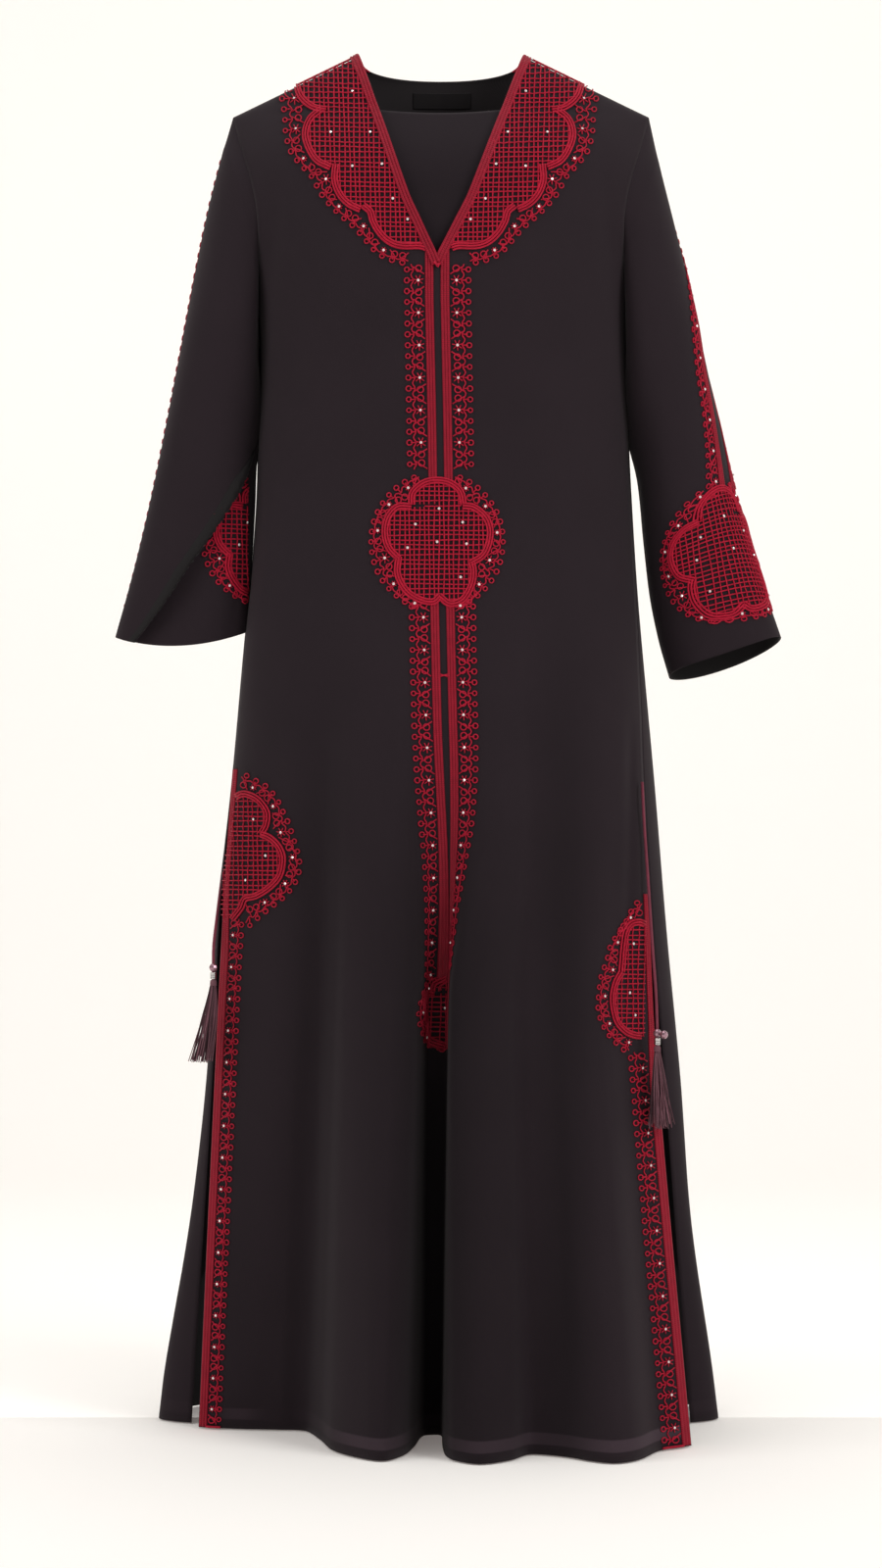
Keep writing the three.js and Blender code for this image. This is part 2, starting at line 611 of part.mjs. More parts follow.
function foldedRing(side, section) {
  const half = SLEEVE_COLUMNS / 2;
  const depth = clamp01(section.fold / FOLD_FULL);
  if (!depth) return plainRing(side, section);
  const edgeAcross = -1 + 2 * section.fold;
  const edgeAngleAt = Math.acos(power(edgeAcross, SLEEVE_ROUNDNESS / 2));
  const points = [];
  for (let i = 0; i < FRONT_LAYER; i++) {
    points.push(sectionPoint(side, section, (edgeAngleAt * i) / (FRONT_LAYER - 1)));
  }
  const forwardAt = (across) => (1 - Math.abs(across) ** SLEEVE_ROUNDNESS) ** (1 / SLEEVE_ROUNDNESS);
  const under = (across, drop) => {
    const forward = Math.max(forwardAt(across) - (drop * depth) / section.depth, -0.2);
    return sectionAt(side, section, across, forward);
  };
  const tuck = FOLD_RETURN * depth;
  points.push(under(edgeAcross + tuck * 0.6, FOLD_DROP * 0.42));
  points.push(under(edgeAcross + tuck, FOLD_DROP * 0.7));
  points.push(under(edgeAcross + tuck * 0.5, FOLD_DROP));
  const rest = half - FRONT_LAYER - TUCK + 1;
  for (let i = 0; i < rest; i++) {
    const across = lerp(edgeAcross - 0.02, -1, (i + 0.6) / (rest + 0.4));
    points.push(under(across, FOLD_DROP * (1 - (i / rest) * 0.5)));
  }
  for (let i = half; i < SLEEVE_COLUMNS; i++) {
    if (points.length < SLEEVE_COLUMNS) {
      const angle = Math.PI + (Math.PI * (i - half + 0.5)) / (SLEEVE_COLUMNS - half);
      points.push(sectionPoint(side, section, angle));
    }
  }
  return points;
}

// Triangles between two closed loops with different numbers of points.
function stitch(firstA, countA, firstB, countB) {
  const triangles = [];
  let a = 0;
  let b = 0;
  while (a < countA || b < countB) {
    const [a0, b0] = [firstA + (a % countA), firstB + (b % countB)];
    if (b >= countB || (a < countA && (a + 0.5) / countA <= (b + 0.5) / countB)) {
      a++;
      triangles.push([a0, b0, firstA + (a % countA)]);
    } else {
      b++;
      triangles.push([a0, b0, firstB + (b % countB)]);
    }
  }
  return triangles;
}

// Sections between the rows of a table, so that every ring of the sleeve has one.
function sleeveSections(table) {
  const out = [];
  for (let i = 0; i < table.length; i++) {
    out.push(table[i]);
    if (i > 1 && i < table.length - 1) {
      const mixed = {};
      for (const key of Object.keys(table[i])) mixed[key] = (table[i][key] + table[i + 1][key]) / 2;
      out.push(mixed);
    }
  }
  return out;
}

function sleeveSheet(side, table, ring) {
  const loop = armholeLoop(side);
  const points = [...loop];
  const rings = sleeveSections(table).map((section) => {
    points.push(...ring(side, section));
    return points.length - SLEEVE_COLUMNS;
  });
  const triangles = stitch(0, loop.length, rings[0], SLEEVE_COLUMNS);
  const index = (r, c) => rings[r] + (c % SLEEVE_COLUMNS);
  triangles.push(...gridTriangles(index, rings.length, SLEEVE_COLUMNS + 1));
  if (side > 0) triangles.forEach((t) => t.reverse());
  const sheet = sheetOf(points, triangles);
  for (let i = 0; i < loop.length; i++) {
    const [, y, z] = sheet.normals[i];
    sheet.normals[i] = new THREE.Vector3(0, y, z).normalize().toArray();
  }
  return { ...sheet, index, rings: rings.length };
}

const sleeveLeft = sleeveSheet(-1, SLEEVE_LEFT, foldedRing);
const sleeveRight = sleeveSheet(1, SLEEVE_RIGHT, plainRing);

// ---------------------------------------------------------------- trims on the cloth
const ON = SEAM; // a trim's underside stands this far off the cloth
const lacePlate = (sheet, triangles) => thicken(sheet, ON, ON + LACE, triangles, SEAM / 2);
const braidPlate = (sheet, triangles) => thicken(sheet, ON, ON + BRAID, triangles, SEAM / 2);

// Five-lobed outline round a medallion's centre.
const LOBES = 5;
const LOBE_DEPTH = 0.16;
const OUTLINE_STEPS = 40;

function lobed({ x, z, a, b, turn }) {
  return Array.from({ length: OUTLINE_STEPS }, (_, i) => {
    const angle = (2 * Math.PI * i) / OUTLINE_STEPS;
    const wave = Math.abs(Math.cos((LOBES / 2) * (angle - radians(turn))));
    const r = 1 - LOBE_DEPTH * (1 - wave);
    return [x + a * r * Math.cos(angle), z + b * r * Math.sin(angle)];
  });
}

const PRISM_DEPTH = 420;

// Piece of a plate inside an outline, which is seen along Y from the front or from the given heading.
function cutTo(plate, outline, heading = 0, back = false) {
  const shape = new THREE.Shape(outline.map(([x, z]) => new THREE.Vector2(x, z)));
  const prism = new THREE.ExtrudeGeometry(shape, { depth: PRISM_DEPTH, bevelEnabled: false });
  prism.rotateX(Math.PI / 2);
  if (back) prism.translate(0, PRISM_DEPTH, 0);
  prism.rotateZ(radians(heading));
  return geometryOf(manifoldOf(plate).intersect(manifoldOf(prism)));
}

function collar(side) {
  const outline = [...COLLAR_EDGE.map(({ x, z }) => [side < 0 ? x : -x, z]), [0, 30], [side * 190, 30]];
  if (side > 0) outline.reverse();
  const [from, to] = side < 0 ? [-HEM_LEFT, -BRAID_OUT] : [BRAID_OUT, HEM_RIGHT];
  return cutTo(lacePlate(front, frontCells(front, from, to, 0, ARM_ROW)), outline);
}

// Strips at both sides of the centre: braid next to the gap, lace outside it.
function placket(side, fromRow, toRow) {
  const [from, to] = side < 0 ? [-LACE_OUT, -BRAID_IN] : [BRAID_IN, LACE_OUT];
  const cells = frontCells(front, from, to, fromRow, toRow);
  const laceEdge = new Set();
  for (let r = fromRow; r <= toRow; r++) laceEdge.add(front.index(r, FRONT_COLUMNS.indexOf(side * LACE_OUT)));
  return thicken(front, ON, (v) => ON + (laceEdge.has(v) ? LACE : BRAID), cells, SEAM / 2);
}

function neckBraid() {
  return braidPlate(front, frontCells(front, -BRAID_OUT, BRAID_OUT, 0, ARM_ROW));
}

function medallion(spot, fromU, toU, fromRow, toRow) {
  return cutTo(lacePlate(front, frontCells(front, fromU, toU, fromRow, toRow)), lobed(spot));
}

// Braid and lace along the front panel's side edge.
function slitTrim(side, fromRow) {
  const last = ROWS.length - 1;
  if (side < 0) return lacePlate(front, frontCells(front, -HEM_LEFT, -221, fromRow, last));
  return lacePlate(front, frontCells(front, 218, HEM_RIGHT, fromRow, last));
}

// Facing inside the back neck, and the bare label sewn to it.
const FACING = 1; // thickness of the facing
function facing() {
  const neckColumns = [...Array(back.columns).keys()].filter((c) => {
    return Math.abs(back.points[back.index(0, c)][0]) < NECK_HALF + 1;
  });
  const [first, last] = [neckColumns[0], neckColumns[neckColumns.length - 1]];
  const cells = gridTriangles(back.index, 2, back.columns, false, (r, c) => c >= first && c < last);
  return thicken(back, -WALL - SEAM - FACING, -WALL - SEAM, cells);
}

const LABEL = { x: 1, z: -31, width: 60, height: 16, thickness: 0.8, inside: 7 };

function label() {
  const geometry = new THREE.BoxGeometry(LABEL.width, LABEL.thickness, LABEL.height);
  const at = back.points[back.index(1, (back.columns - 1) / 2)];
  const top = back.points[back.index(0, (back.columns - 1) / 2)];
  const lean = Math.atan2(at[1] - top[1], top[2] - at[2]);
  const t = (top[2] - LABEL.z) / (top[2] - at[2]);
  geometry.rotateX(lean);
  geometry.translate(LABEL.x, lerp(top[1], at[1], t) - WALL - SEAM - LABEL.inside, LABEL.z);
  return geometry;
}

// Insert that fills the V behind the front: straight top edge, sides tucked behind the V's braid.
const INSERT = { top: -60, bottom: -252, tuck: 9, behind: 5.5, thickness: 1.2, rows: 7, columns: 6 };

function insert() {
  const points = [];
  for (let r = 0; r <= INSERT.rows; r++) {
    const z = lerp(INSERT.top, INSERT.bottom, r / INSERT.rows);
    const edgeU = NECK_HALF * Math.max(0, 1 + z / V_DEPTH);
    const half = edgeU + INSERT.tuck;
    const y = frontAt(1, edgeU, z, 0)[1] + INSERT.behind;
    for (let c = 0; c <= INSERT.columns; c++) {
      const across = lerp(-1, 1, c / INSERT.columns);
      const dip = r === 0 ? 4 * (1 - across ** 2) : 0;
      points.push([half * across + edge(-262, "centre") * clamp01(-z / V_DEPTH), y, z - dip]);
    }
  }
  const index = (r, c) => r * (INSERT.columns + 1) + c;
  const sheet = sheetOf(points, gridTriangles(index, INSERT.rows + 1, INSERT.columns + 1));
  return thicken(sheet, -INSERT.thickness, 0);
}

// Trim down the outer arm: braids and lace between two distances round the sleeve's section.
function sleeveTrim(side, table, from, to, shift, width) {
  const points = [];
  const columns = 4;
  for (let r = from; r <= to; r++) {
    const section = table[r];
    const radius = section.depth * 0.95;
    for (let c = 0; c <= columns; c++) {
      const arc = lerp(-width, width, c / columns) + shift[r];
      points.push(sectionPoint(side, section, arc / radius));
    }
  }
  const index = (r, c) => r * (columns + 1) + c;
  const sheet = sheetOf(points, gridTriangles(index, to - from + 1, columns + 1, side > 0));
  return thicken(sheet, TRIM_RISE, TRIM_RISE + LACE);
}

const RIGHT_SHIFT = [-14, -10, -4, 4, 10]; // the outer-arm line's place in front of the outermost line
const LEFT_SHIFT = [-30, -30, -30, -28, -24, -22, -22, -24]; // it lies behind that line at the left
const TRIM_HALF = 24;
const TRIM_RISE = 1.1; // the flat strips stand clear of the sleeve's corners

function rightSleeveMedallion() {
  const cells = gridTriangles(sleeveRight.index, sleeveRight.rings, SLEEVE_COLUMNS + 1, true, (r, c) => {
    const step = c % SLEEVE_COLUMNS;
    return r >= 6 && (step < 11 || step >= SLEEVE_COLUMNS - 5);
  });
  const spot = SLEEVE_MEDALLION;
  return cutTo(lacePlate(sleeveRight, cells), lobed(spot), SLEEVE_VIEW);
}

function leftSleeveMedallion() {
  const cells = gridTriangles(sleeveLeft.index, sleeveLeft.rings, SLEEVE_COLUMNS + 1, false, (r, c) => {
    return r >= 6 && c >= FRONT_LAYER + TUCK && c < SLEEVE_COLUMNS / 2 + 1;
  });
  return cutTo(lacePlate(sleeveLeft, cells), lobed(TUCKED_MEDALLION));
}

// ---------------------------------------------------------------- cords, beads and tassels
function cord(points) {
  const curve = new THREE.CatmullRomCurve3(points.map((p) => new THREE.Vector3(...p)));
  const section = new THREE.Shape(
    Array.from({ length: CORD_SIDES }, (_, i) => {
      const angle = (2 * Math.PI * i) / CORD_SIDES;
      return new THREE.Vector2(CORD_RADIUS * Math.cos(angle), CORD_RADIUS * Math.sin(angle));
    }),
  );
  return new THREE.ExtrudeGeometry(section, { steps: CORD_STEPS, extrudePath: curve });
}

const bead = () => new THREE.SphereGeometry(BEAD_RADIUS, 10, 7);
const collet = () => new THREE.CylinderGeometry(COLLET_RADIUS, COLLET_RADIUS, COLLET_LENGTH, 12).rotateX(Math.PI / 2);

// Tassel that hangs from its own origin: a bound head and strands that spread towards the tips.
const HEAD_LENGTH = 13;

function tassel(lean) {
  const profile = [[0, 0], [3.2, -0.5], [4.6, -3], [5.4, -7], [5.8, -HEAD_LENGTH], [0, -HEAD_LENGTH]];
  const head = new THREE.LatheGeometry(profile.map(([r, z]) => new THREE.Vector2(r, z)).reverse(), 12);
  let whole = manifoldOf(head.rotateX(Math.PI / 2));
  for (const { count, top, tip, turn } of STRANDS) {
    for (let i = 0; i < count; i++) {
      const angle = turn + (2 * Math.PI * i) / count;
      const [cos, sin] = [Math.cos(angle), Math.sin(angle)];
      const end = TASSEL_LENGTH * (1 - 0.06 * ((i * 7) % 5) * 0.25);
      const line = [0, 0.5, 1].map((t) => {
        const r = lerp(top, tip, t ** 1.3);
        const z = lerp(-HEAD_LENGTH + 3, -end, t);
        return new THREE.Vector3(r * cos + lean * t ** 1.4, r * sin, z);
      });
      whole = whole.add(manifoldOf(strand(line)));
    }
  }
  return geometryOf(whole);
}

// Three-sided strand through a few points, widest in the middle.
function strand(line) {
  const points = [];
  const faces = [];
  line.forEach((p, k) => {
    const radius = k === line.length - 1 ? STRAND_RADIUS * 0.7 : STRAND_RADIUS;
    for (let s = 0; s < 3; s++) {
      const angle = (2 * Math.PI * s) / 3;
      points.push([p.x + radius * Math.cos(angle), p.y + radius * Math.sin(angle), p.z]);
    }
  });
  for (let k = 0; k < line.length - 1; k++) {
    for (let s = 0; s < 3; s++) {
      const [a, b] = [3 * k + s, 3 * k + ((s + 1) % 3)];
      faces.push([a, a + 3, b], [b, a + 3, b + 3]);
    }
  }
  const end = 3 * (line.length - 1);
  faces.push([0, 1, 2], [end, end + 2, end + 1]);
  return solid(points, faces);
}

// ---------------------------------------------------------------- the garment
const group = new THREE.Group();

function place(name, geometry, look, position = [0, 0, 0]) {
  geometry.computeVertexNormals();
  const mesh = new THREE.Mesh(geometry, new THREE.MeshStandardMaterial(look));
  mesh.name = name;
  mesh.position.set(...position);
  group.add(mesh);
}

place("front", thicken(front, -WALL, 0), CLOTH);
place("back", thicken(back, -WALL, 0), CLOTH);
place("sleeve_left", thicken(sleeveLeft, -WALL, 0), CLOTH);
place("sleeve_right", thicken(sleeveRight, -WALL, 0), CLOTH);
place("neck_insert", insert(), INNER);
place("back_neck_facing", facing(), INNER);
place("label", label(), INNER);

place("neck_braid", neckBraid(), CRIMSON);
place("collar_lace_left", collar(-1), CRIMSON);
place("collar_lace_right", collar(1), CRIMSON);

const WAIST_TOP_ROW = rowAt(-436);
const WAIST_END_ROW = rowAt(-571);
const LOWER_TOP_ROW = rowAt(-932);
const LOWER_END_ROW = rowAt(-1005);
for (const [side, name] of [[-1, "left"], [1, "right"]]) {
  place(`placket_upper_${name}`, placket(side, ARM_ROW, WAIST_TOP_ROW), CRIMSON);
}
place("placket_lower_left", placket(-1, WAIST_END_ROW, LOWER_TOP_ROW), CRIMSON);
place("placket_lower_right", placket(1, WAIST_END_ROW, LOWER_END_ROW), CRIMSON);
place("medallion_waist", medallion(WAIST, -197, 198, WAIST_TOP_ROW, WAIST_END_ROW), CRIMSON);
place("medallion_lower", medallion(LOWER, -80, -BRAID_IN, LOWER_TOP_ROW, LOWER_END_ROW), CRIMSON);

const LEFT_TRIM_ROW = rowAt(-885);
const RIGHT_TRIM_ROW = rowAt(-1005);
place("medallion_hip_left", medallion(HIP_LEFT, -HEM_LEFT, 0, SLIT_RIGHT_ROW, LEFT_TRIM_ROW), CRIMSON);
place("medallion_hip_right", medallion(HIP_RIGHT, 60, HEM_RIGHT, rowAt(-840), RIGHT_TRIM_ROW), CRIMSON);
place("slit_trim_left", slitTrim(-1, LEFT_TRIM_ROW), CRIMSON);
place("slit_trim_right", slitTrim(1, RIGHT_TRIM_ROW), CRIMSON);

place("sleeve_trim_right", sleeveTrim(1, SLEEVE_RIGHT, 0, 4, RIGHT_SHIFT, TRIM_HALF), CRIMSON);
place("sleeve_trim_left", sleeveTrim(-1, SLEEVE_LEFT, 0, 7, LEFT_SHIFT, TRIM_HALF), CRIMSON);
place("sleeve_medallion_right", rightSleeveMedallion(), CRIMSON);
place("sleeve_medallion_left", leftSleeveMedallion(), CRIMSON);

for (const [name, points, lean] of [["left", CORD_LEFT, -12], ["right", CORD_RIGHT, 4]]) {
  const [x, y, z] = points[points.length - 1];
  const beadZ = z - SEAM - BEAD_RADIUS;
  const colletZ = beadZ - BEAD_RADIUS - SEAM - COLLET_LENGTH / 2;
  place(`cord_${name}`, cord(points), MAUVE);
  place(`bead_${name}`, bead(), BEAD, [x, y, beadZ]);
  place(`collet_${name}`, collet(), SILVER, [x, y, colletZ]);
  place(`tassel_${name}`, tassel(lean), MAUVE, [x, y, colletZ - COLLET_LENGTH / 2 - SEAM]);
  if (name === "right") place("bead_right_second", bead(), BEAD, [x + 6, y - 7, beadZ - 1]);
}

export default group;
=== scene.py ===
"""Kaftan: a floor-length black crepe robe with corded lace, flat braid, side cords and tassels.

Every surface is a function of two parameters, worked out in millimetres with numpy and put into
meshes in metres. The front faces -Y, +X is at the viewer's right and the origin lies between the two
points where the shoulder seams meet the neck.
"""
import math

import bpy
import numpy as np
from bpy.props import FloatProperty, FloatVectorProperty, IntProperty, PointerProperty
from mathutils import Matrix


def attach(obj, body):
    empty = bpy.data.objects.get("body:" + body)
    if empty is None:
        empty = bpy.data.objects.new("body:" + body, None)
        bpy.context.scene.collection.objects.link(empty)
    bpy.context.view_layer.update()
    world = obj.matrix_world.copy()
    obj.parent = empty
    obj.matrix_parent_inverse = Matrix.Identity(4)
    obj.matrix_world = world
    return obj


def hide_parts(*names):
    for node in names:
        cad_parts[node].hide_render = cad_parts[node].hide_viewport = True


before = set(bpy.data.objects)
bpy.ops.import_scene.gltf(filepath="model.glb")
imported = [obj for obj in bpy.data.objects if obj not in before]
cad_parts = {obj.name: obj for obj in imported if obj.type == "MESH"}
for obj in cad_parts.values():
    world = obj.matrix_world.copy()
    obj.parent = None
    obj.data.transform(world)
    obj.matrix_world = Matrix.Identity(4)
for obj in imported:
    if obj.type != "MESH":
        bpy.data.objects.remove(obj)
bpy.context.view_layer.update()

bl_info = {
    "name": "Kaftan maker",
    "version": (1, 0, 0),
    "blender": (4, 5, 0),
    "location": "3D View > Sidebar > Kaftan",
    "description": "Makes a floor-length robe with corded lace, braid, side cords and tassels",
    "category": "Add Mesh",
}

MM = 0.001

# ------------------------------------------------------------------ cutting table of the robe, in mm
NECK_HALF = 84.0
TIP_X, TIP_Z = 212.0, -62.0
V_DEPTH = 219.0
BACK_NECK_Y, BACK_NECK_DROP = 70.0, 11.5
CHEST_Z = -150.0
HEM_Z = -1397.0
ROUNDNESS = 2.2
HEM_LEFT, HEM_RIGHT = 247.0, 248.0
CENTRE_BAND, EDGE_BAND = 40.0, 50.0
FOLD_START, FOLD_GROWTH = -520.0, 1.6
TURN_TOP, TURN_END = -760.0, -960.0
SLIT_LEFT, SLIT_RIGHT = -672.0, -738.0
ARM_ROW = 8

# height, half-width left and right, depth of front and back, middle along Y, lap of the back panel
BODY = np.array([
    (-62, 214, 214, 88, 78, 0, 88), (-110, 213, 213, 110, 96, 0, 110),
    (-160, 207, 208, 120, 102, 0, 120), (-215, 197, 199, 125, 106, 0, 125),
    (-262, 187, 191, 125, 106, 0, 125), (-330, 185, 190, 124, 104, 0, 124),
    (-402, 187, 192, 122, 102, 0, 122), (-462, 189, 195, 122, 104, 0, 122),
    (-542, 195, 200, 124, 110, 0, 124), (-602, 201, 205, 128, 118, 0, 128),
    (-742, 214, 218, 138, 132, 5, 138), (-892, 231, 231, 152, 142, 15, 118),
    (-1042, 241, 246, 170, 148, 28, 90), (-1192, 259, 258, 188, 152, 38, 70),
    (-1342, 285, 280, 205, 150, 47, 62), (-1397, 292, 287, 212, 150, 50, 60),
], float)
# height, side edges of front and back at the left and right, drift of the centre line
EDGES = np.array([
    (-262, 187, 191, 187, 191, -4), (-402, 187, 191, 187, 191, -1),
    (-542, 195, 197, 195, 197, 1), (-672, 207, 202, 207, 202, 4),
    (-738, 212, 204, 213, 204, 6), (-887, 222, 208, 226, 214, 8),
    (-1000, 228, 213, 231, 224, 6), (-1397, 247, 248, 256, 256, 0),
], float)
# height, distance of the armhole seam from the middle at the left and right
ARMHOLE = np.array([
    (-62, 212, 212), (-86, 206, 206), (-112, 198, 198), (-140, 190, 190), (-168, 185, 185),
    (-215, 183, 184), (-245, 185, 187), (-262, 187, 191),
], float)
# hem of the front: place of a column in the flat cloth, and where it comes to lie
FRONT_HEM = np.array([
    (-247, -247, -6), (-244, -244, -8), (-238, -238, -10), (-221, -221, -14), (-197, -197, -18),
    (-165, -165, -22), (-140, -137, -32), (-124, -121, -80), (-107, -107, -134), (-80, -80, -168),
    (-55, -55, -183), (-40, -36, -155), (-32, -27, -115), (-12, -18, -56), (-3.5, -5, -49),
    (0, -1, -51), (3.5, 1, -60), (12, 1, -88), (22, 2, -124), (32, 5, -158), (40, 13, -180),
    (60, 38, -200), (85, 68, -183), (102, 88, -156), (123, 120, -170), (145, 144, -190),
    (165, 165, -197), (182, 182, -188), (198, 196, -172), (218, 215, -134), (238, 237, -117),
    (245, 245, -110), (248, 248, -107),
], float)
# heights of the rows at the side, at the centre of the front and at the centre of the back
LEVELS = (-300, -350, -395, -436, -503, -571, -622, -672, -705, -738, -790, -840,
          -885, -932, -1005, -1070, -1135, -1200, -1265, -1330, -1397)
ROWS = np.array([
    (-62, 0, -14), (-86, -32, -42), (-112, -64, -72), (-140, -96, -104), (-168, -128, -138),
    (-196, -160, -172), (-222, -193, -205), (-245, -226, -236), (-262, -241, -258),
    *[(z, z, z) for z in LEVELS],
], float)
# folds of the back at the hem: place round the section and half-width in degrees, depth outwards
BACK_FOLDS = ((38, 11, 22), (62, 12, -20), (86, 10, 24), (108, 11, -22), (130, 10, 20), (152, 9, -12))
# sleeve sections: outer-arm point, underarm point, half-depth, draw, tilt, sag, fold
SLEEVE_RIGHT = np.array([
    (222, -108, 188, -285, 61, 12, 0, 0, 0), (236, -168, 185, -322, 62, 6, 0, 0, 0),
    (255, -250, 187, -374, 60, 2, 1, 0, 0), (275, -340, 200, -432, 57, 0, 2, 0, 0),
    (297, -432, 207, -494, 53, 0, 4, 0, 0), (318, -502, 214, -549, 50, 0, 6, 1, 0),
    (333, -549, 223, -592, 48, 0, 7, 3, 0), (347, -594, 233, -632, 47, 0, 8, 4, 0),
], float)
SLEEVE_LEFT = np.array([
    (222, -96, 186, -285, 60, 12, 0, 0, 0), (236, -152, 183, -320, 60, 6, 0, 0, 0),
    (251, -222, 182, -366, 58, 2, 0, 0, 0), (266, -297, 189, -412, 55, 0, 0, 0, 0.02),
    (282, -377, 191, -455, 52, 0, 0, 0, 0.12), (297, -450, 193, -495, 50, 0, 0, 2, 0.3),
    (311, -512, 195, -530, 48, 0, -1, 5, 0.52), (323, -560, 195, -562, 46, 0, -2, 8, 0.7),
    (332, -592, 195, -586, 45, 0, -3, 11, 0.83),
], float)
SLEEVES = {1: SLEEVE_RIGHT, -1: SLEEVE_LEFT}
SLEEVE_ROUNDNESS = 2.3
TUCK_SHARE = 0.34  # share of the folded front that is tucked back under itself
FOLD_RETURN, FOLD_DROP = 0.22, 13.0

CORD_RIGHT = np.array([
    (201.5, -67, -740), (203, -74, -780), (206, -80, -830), (210, -92, -900), (213, -104, -950),
    (214, -109, -984),
], float)
CORD_LEFT = np.array([
    (-204, 10, -676), (-207, 14, -700), (-214.5, 12, -760), (-221.5, 2, -820),
    (-226.5, -24, -872), (-229, -44, -903), (-229, -52, -922),
], float)
CORD_RADIUS = 1.5
BEAD_RADIUS = 4.3
COLLET_RADIUS, COLLET_LENGTH = 3.2, 7.0
TASSEL_LENGTH = 84.0
HEAD_LENGTH = 13.0
INNER_TAIL = 52.0  # the cord runs on through bead and collet to its knot in the tassel's head
GAP = 0.3


# ------------------------------------------------------------------ curves through tables
def smooth_curve(keys, values):
    """Cubic through the table's rows whose slope is the neighbours' mean, held flat at turning points."""
    order = np.argsort(keys)
    keys, values = np.asarray(keys, float)[order], np.asarray(values, float)[order]
    last = len(keys) - 1

    def at(x):
        x = np.clip(x, keys[0], keys[-1])
        i = np.clip(np.searchsorted(keys, x), 1, last)
        before, after = np.maximum(i - 2, 0), np.minimum(i + 1, last)
        step = keys[i] - keys[i - 1]
        t = (x - keys[i - 1]) / step
        rise = values[i] - values[i - 1]
        low = (values[i] - values[before]) / (keys[i] - keys[before]) * step
        high = (values[after] - values[i - 1]) / (keys[after] - keys[i - 1]) * step
        low, high = (
            np.where(m * rise <= 0, 0, np.sign(m) * np.minimum(np.abs(m), 3 * np.abs(rise)))
            for m in (low, high)
        )
        return (values[i - 1] + rise * t * t * (3 - 2 * t) + low * t * (1 - t) ** 2
                - high * t * t * (1 - t))

    return at


V_SIDES = smooth_curve([-219.2, -208.5, -187.0, -158.7, -71.6, 0.0], [0.0, 5.3, 15.7, 28.9, 59.3, 84.0])


def columns_of(table, names):
    """One smooth curve for each named column, over the table's first column."""
    return {name: smooth_curve(table[:, 0], table[:, k + 1]) for k, name in enumerate(names)}


body = columns_of(BODY, ("left", "right", "front", "back", "mid", "lap"))
edge = columns_of(EDGES, ("front_left", "front_right", "back_left", "back_right", "centre"))
armhole = columns_of(ARMHOLE, ("left", "right"))
hem = columns_of(FRONT_HEM, ("x", "y"))


def lerp(a, b, t):
    return a + (b - a) * t


def clamp(t):
    return np.clip(t, 0.0, 1.0)


def smooth(t):
    t = clamp(t)
    return t * t * (3 - 2 * t)


def power(v, e):
    return np.sign(v) * np.abs(v) ** e


def bump_at(x, at, half):
    """Bell of height 1 round a place, exp(-((x - at) / half) squared)."""
    return np.exp(-(((x - at) / half) ** 2))


def unit(v):
    return v / np.maximum(np.linalg.norm(v, axis=-1, keepdims=True), 1e-9)


def distance_along(line):
    """Distance from a line's start to each of its points."""
    return np.concatenate([[0], np.cumsum(np.linalg.norm(np.diff(line, axis=0), axis=1))])


def by_side(curves, right, z, kind=""):
    """Value at a height of the right one of a pair of curves where right holds, else of the left one."""
    return np.where(right, curves[kind + "right"](z), curves[kind + "left"](z))


# ------------------------------------------------------------------ front and back panels
def shoulder_z(x):
    """Height of the shoulder seam: level with the neck, then a straight slope to the tip."""
    return TIP_Z * np.maximum(0, np.abs(x) - NECK_HALF) / (TIP_X - NECK_HALF)


def rounding(top, z):
    """Quarter ellipse from 0 at the start height to 1 at the chest."""
    t = clamp((top - z) / (top - CHEST_Z))
    return np.sqrt(1 - (1 - t) ** 2)


def row_height(row, kind):
    return np.interp(row, np.arange(len(ROWS)), ROWS[:, ("side", "front", "back").index(kind)])


def grown(z):
    """Share of the skirt's folds at a height: 0 at the hips, 1 at the hem."""
    return clamp((FOLD_START - z) / (FOLD_START - HEM_Z)) ** FOLD_GROWTH


def column_place(column, hem_width, width):
    """Distance from the centre at a row of another width: the centre and edge bands keep their own."""
    band = hem_width - EDGE_BAND
    middle = CENTRE_BAND + (column - CENTRE_BAND) * (width - EDGE_BAND - CENTRE_BAND) / (band - CENTRE_BAND)
    return np.where(column <= CENTRE_BAND, column,
                    np.where(column >= band, width - (hem_width - column), middle))


def column_of(across, hem_width, width):
    """The other way round: the hem column of a distance from the centre."""
    band = hem_width - EDGE_BAND
    scale = np.maximum(width - EDGE_BAND - CENTRE_BAND, 1)
    middle = CENTRE_BAND + (across - CENTRE_BAND) * (band - CENTRE_BAND) / scale
    return np.where(across <= CENTRE_BAND, across,
                    np.where(across >= width - EDGE_BAND, hem_width - (width - across), middle))


def edge_angle(row, right):
    """Angle round the section at which the back panel ends, past the side towards the front."""
    z = row_height(row, "side")
    side = "right" if right else "left"
    width = body[side](z)
    at = np.where(row <= ARM_ROW, armhole[side](z), edge["back_" + side](z))
    angle = np.arccos(clamp(at / width) ** (ROUNDNESS / 2))
    return np.where(row < ARM_ROW, angle, -angle)


def back_creases(angle, z):
    """Shallow drapes of the back: broad vertical rolls that fade above the waist."""
    degrees = np.degrees(angle)
    roll = 2.4 * np.sin(np.radians(degrees * 7.5) + z * 0.0016) * smooth((-430 - z) / 400)
    pull = -3.5 * bump_at(degrees, 90, 26) * bump_at(z, -330, 90)
    blades = 3.0 * (bump_at(degrees, 58, 14) + bump_at(degrees, 122, 14)) * bump_at(z, -190, 70)
    return roll + pull + blades


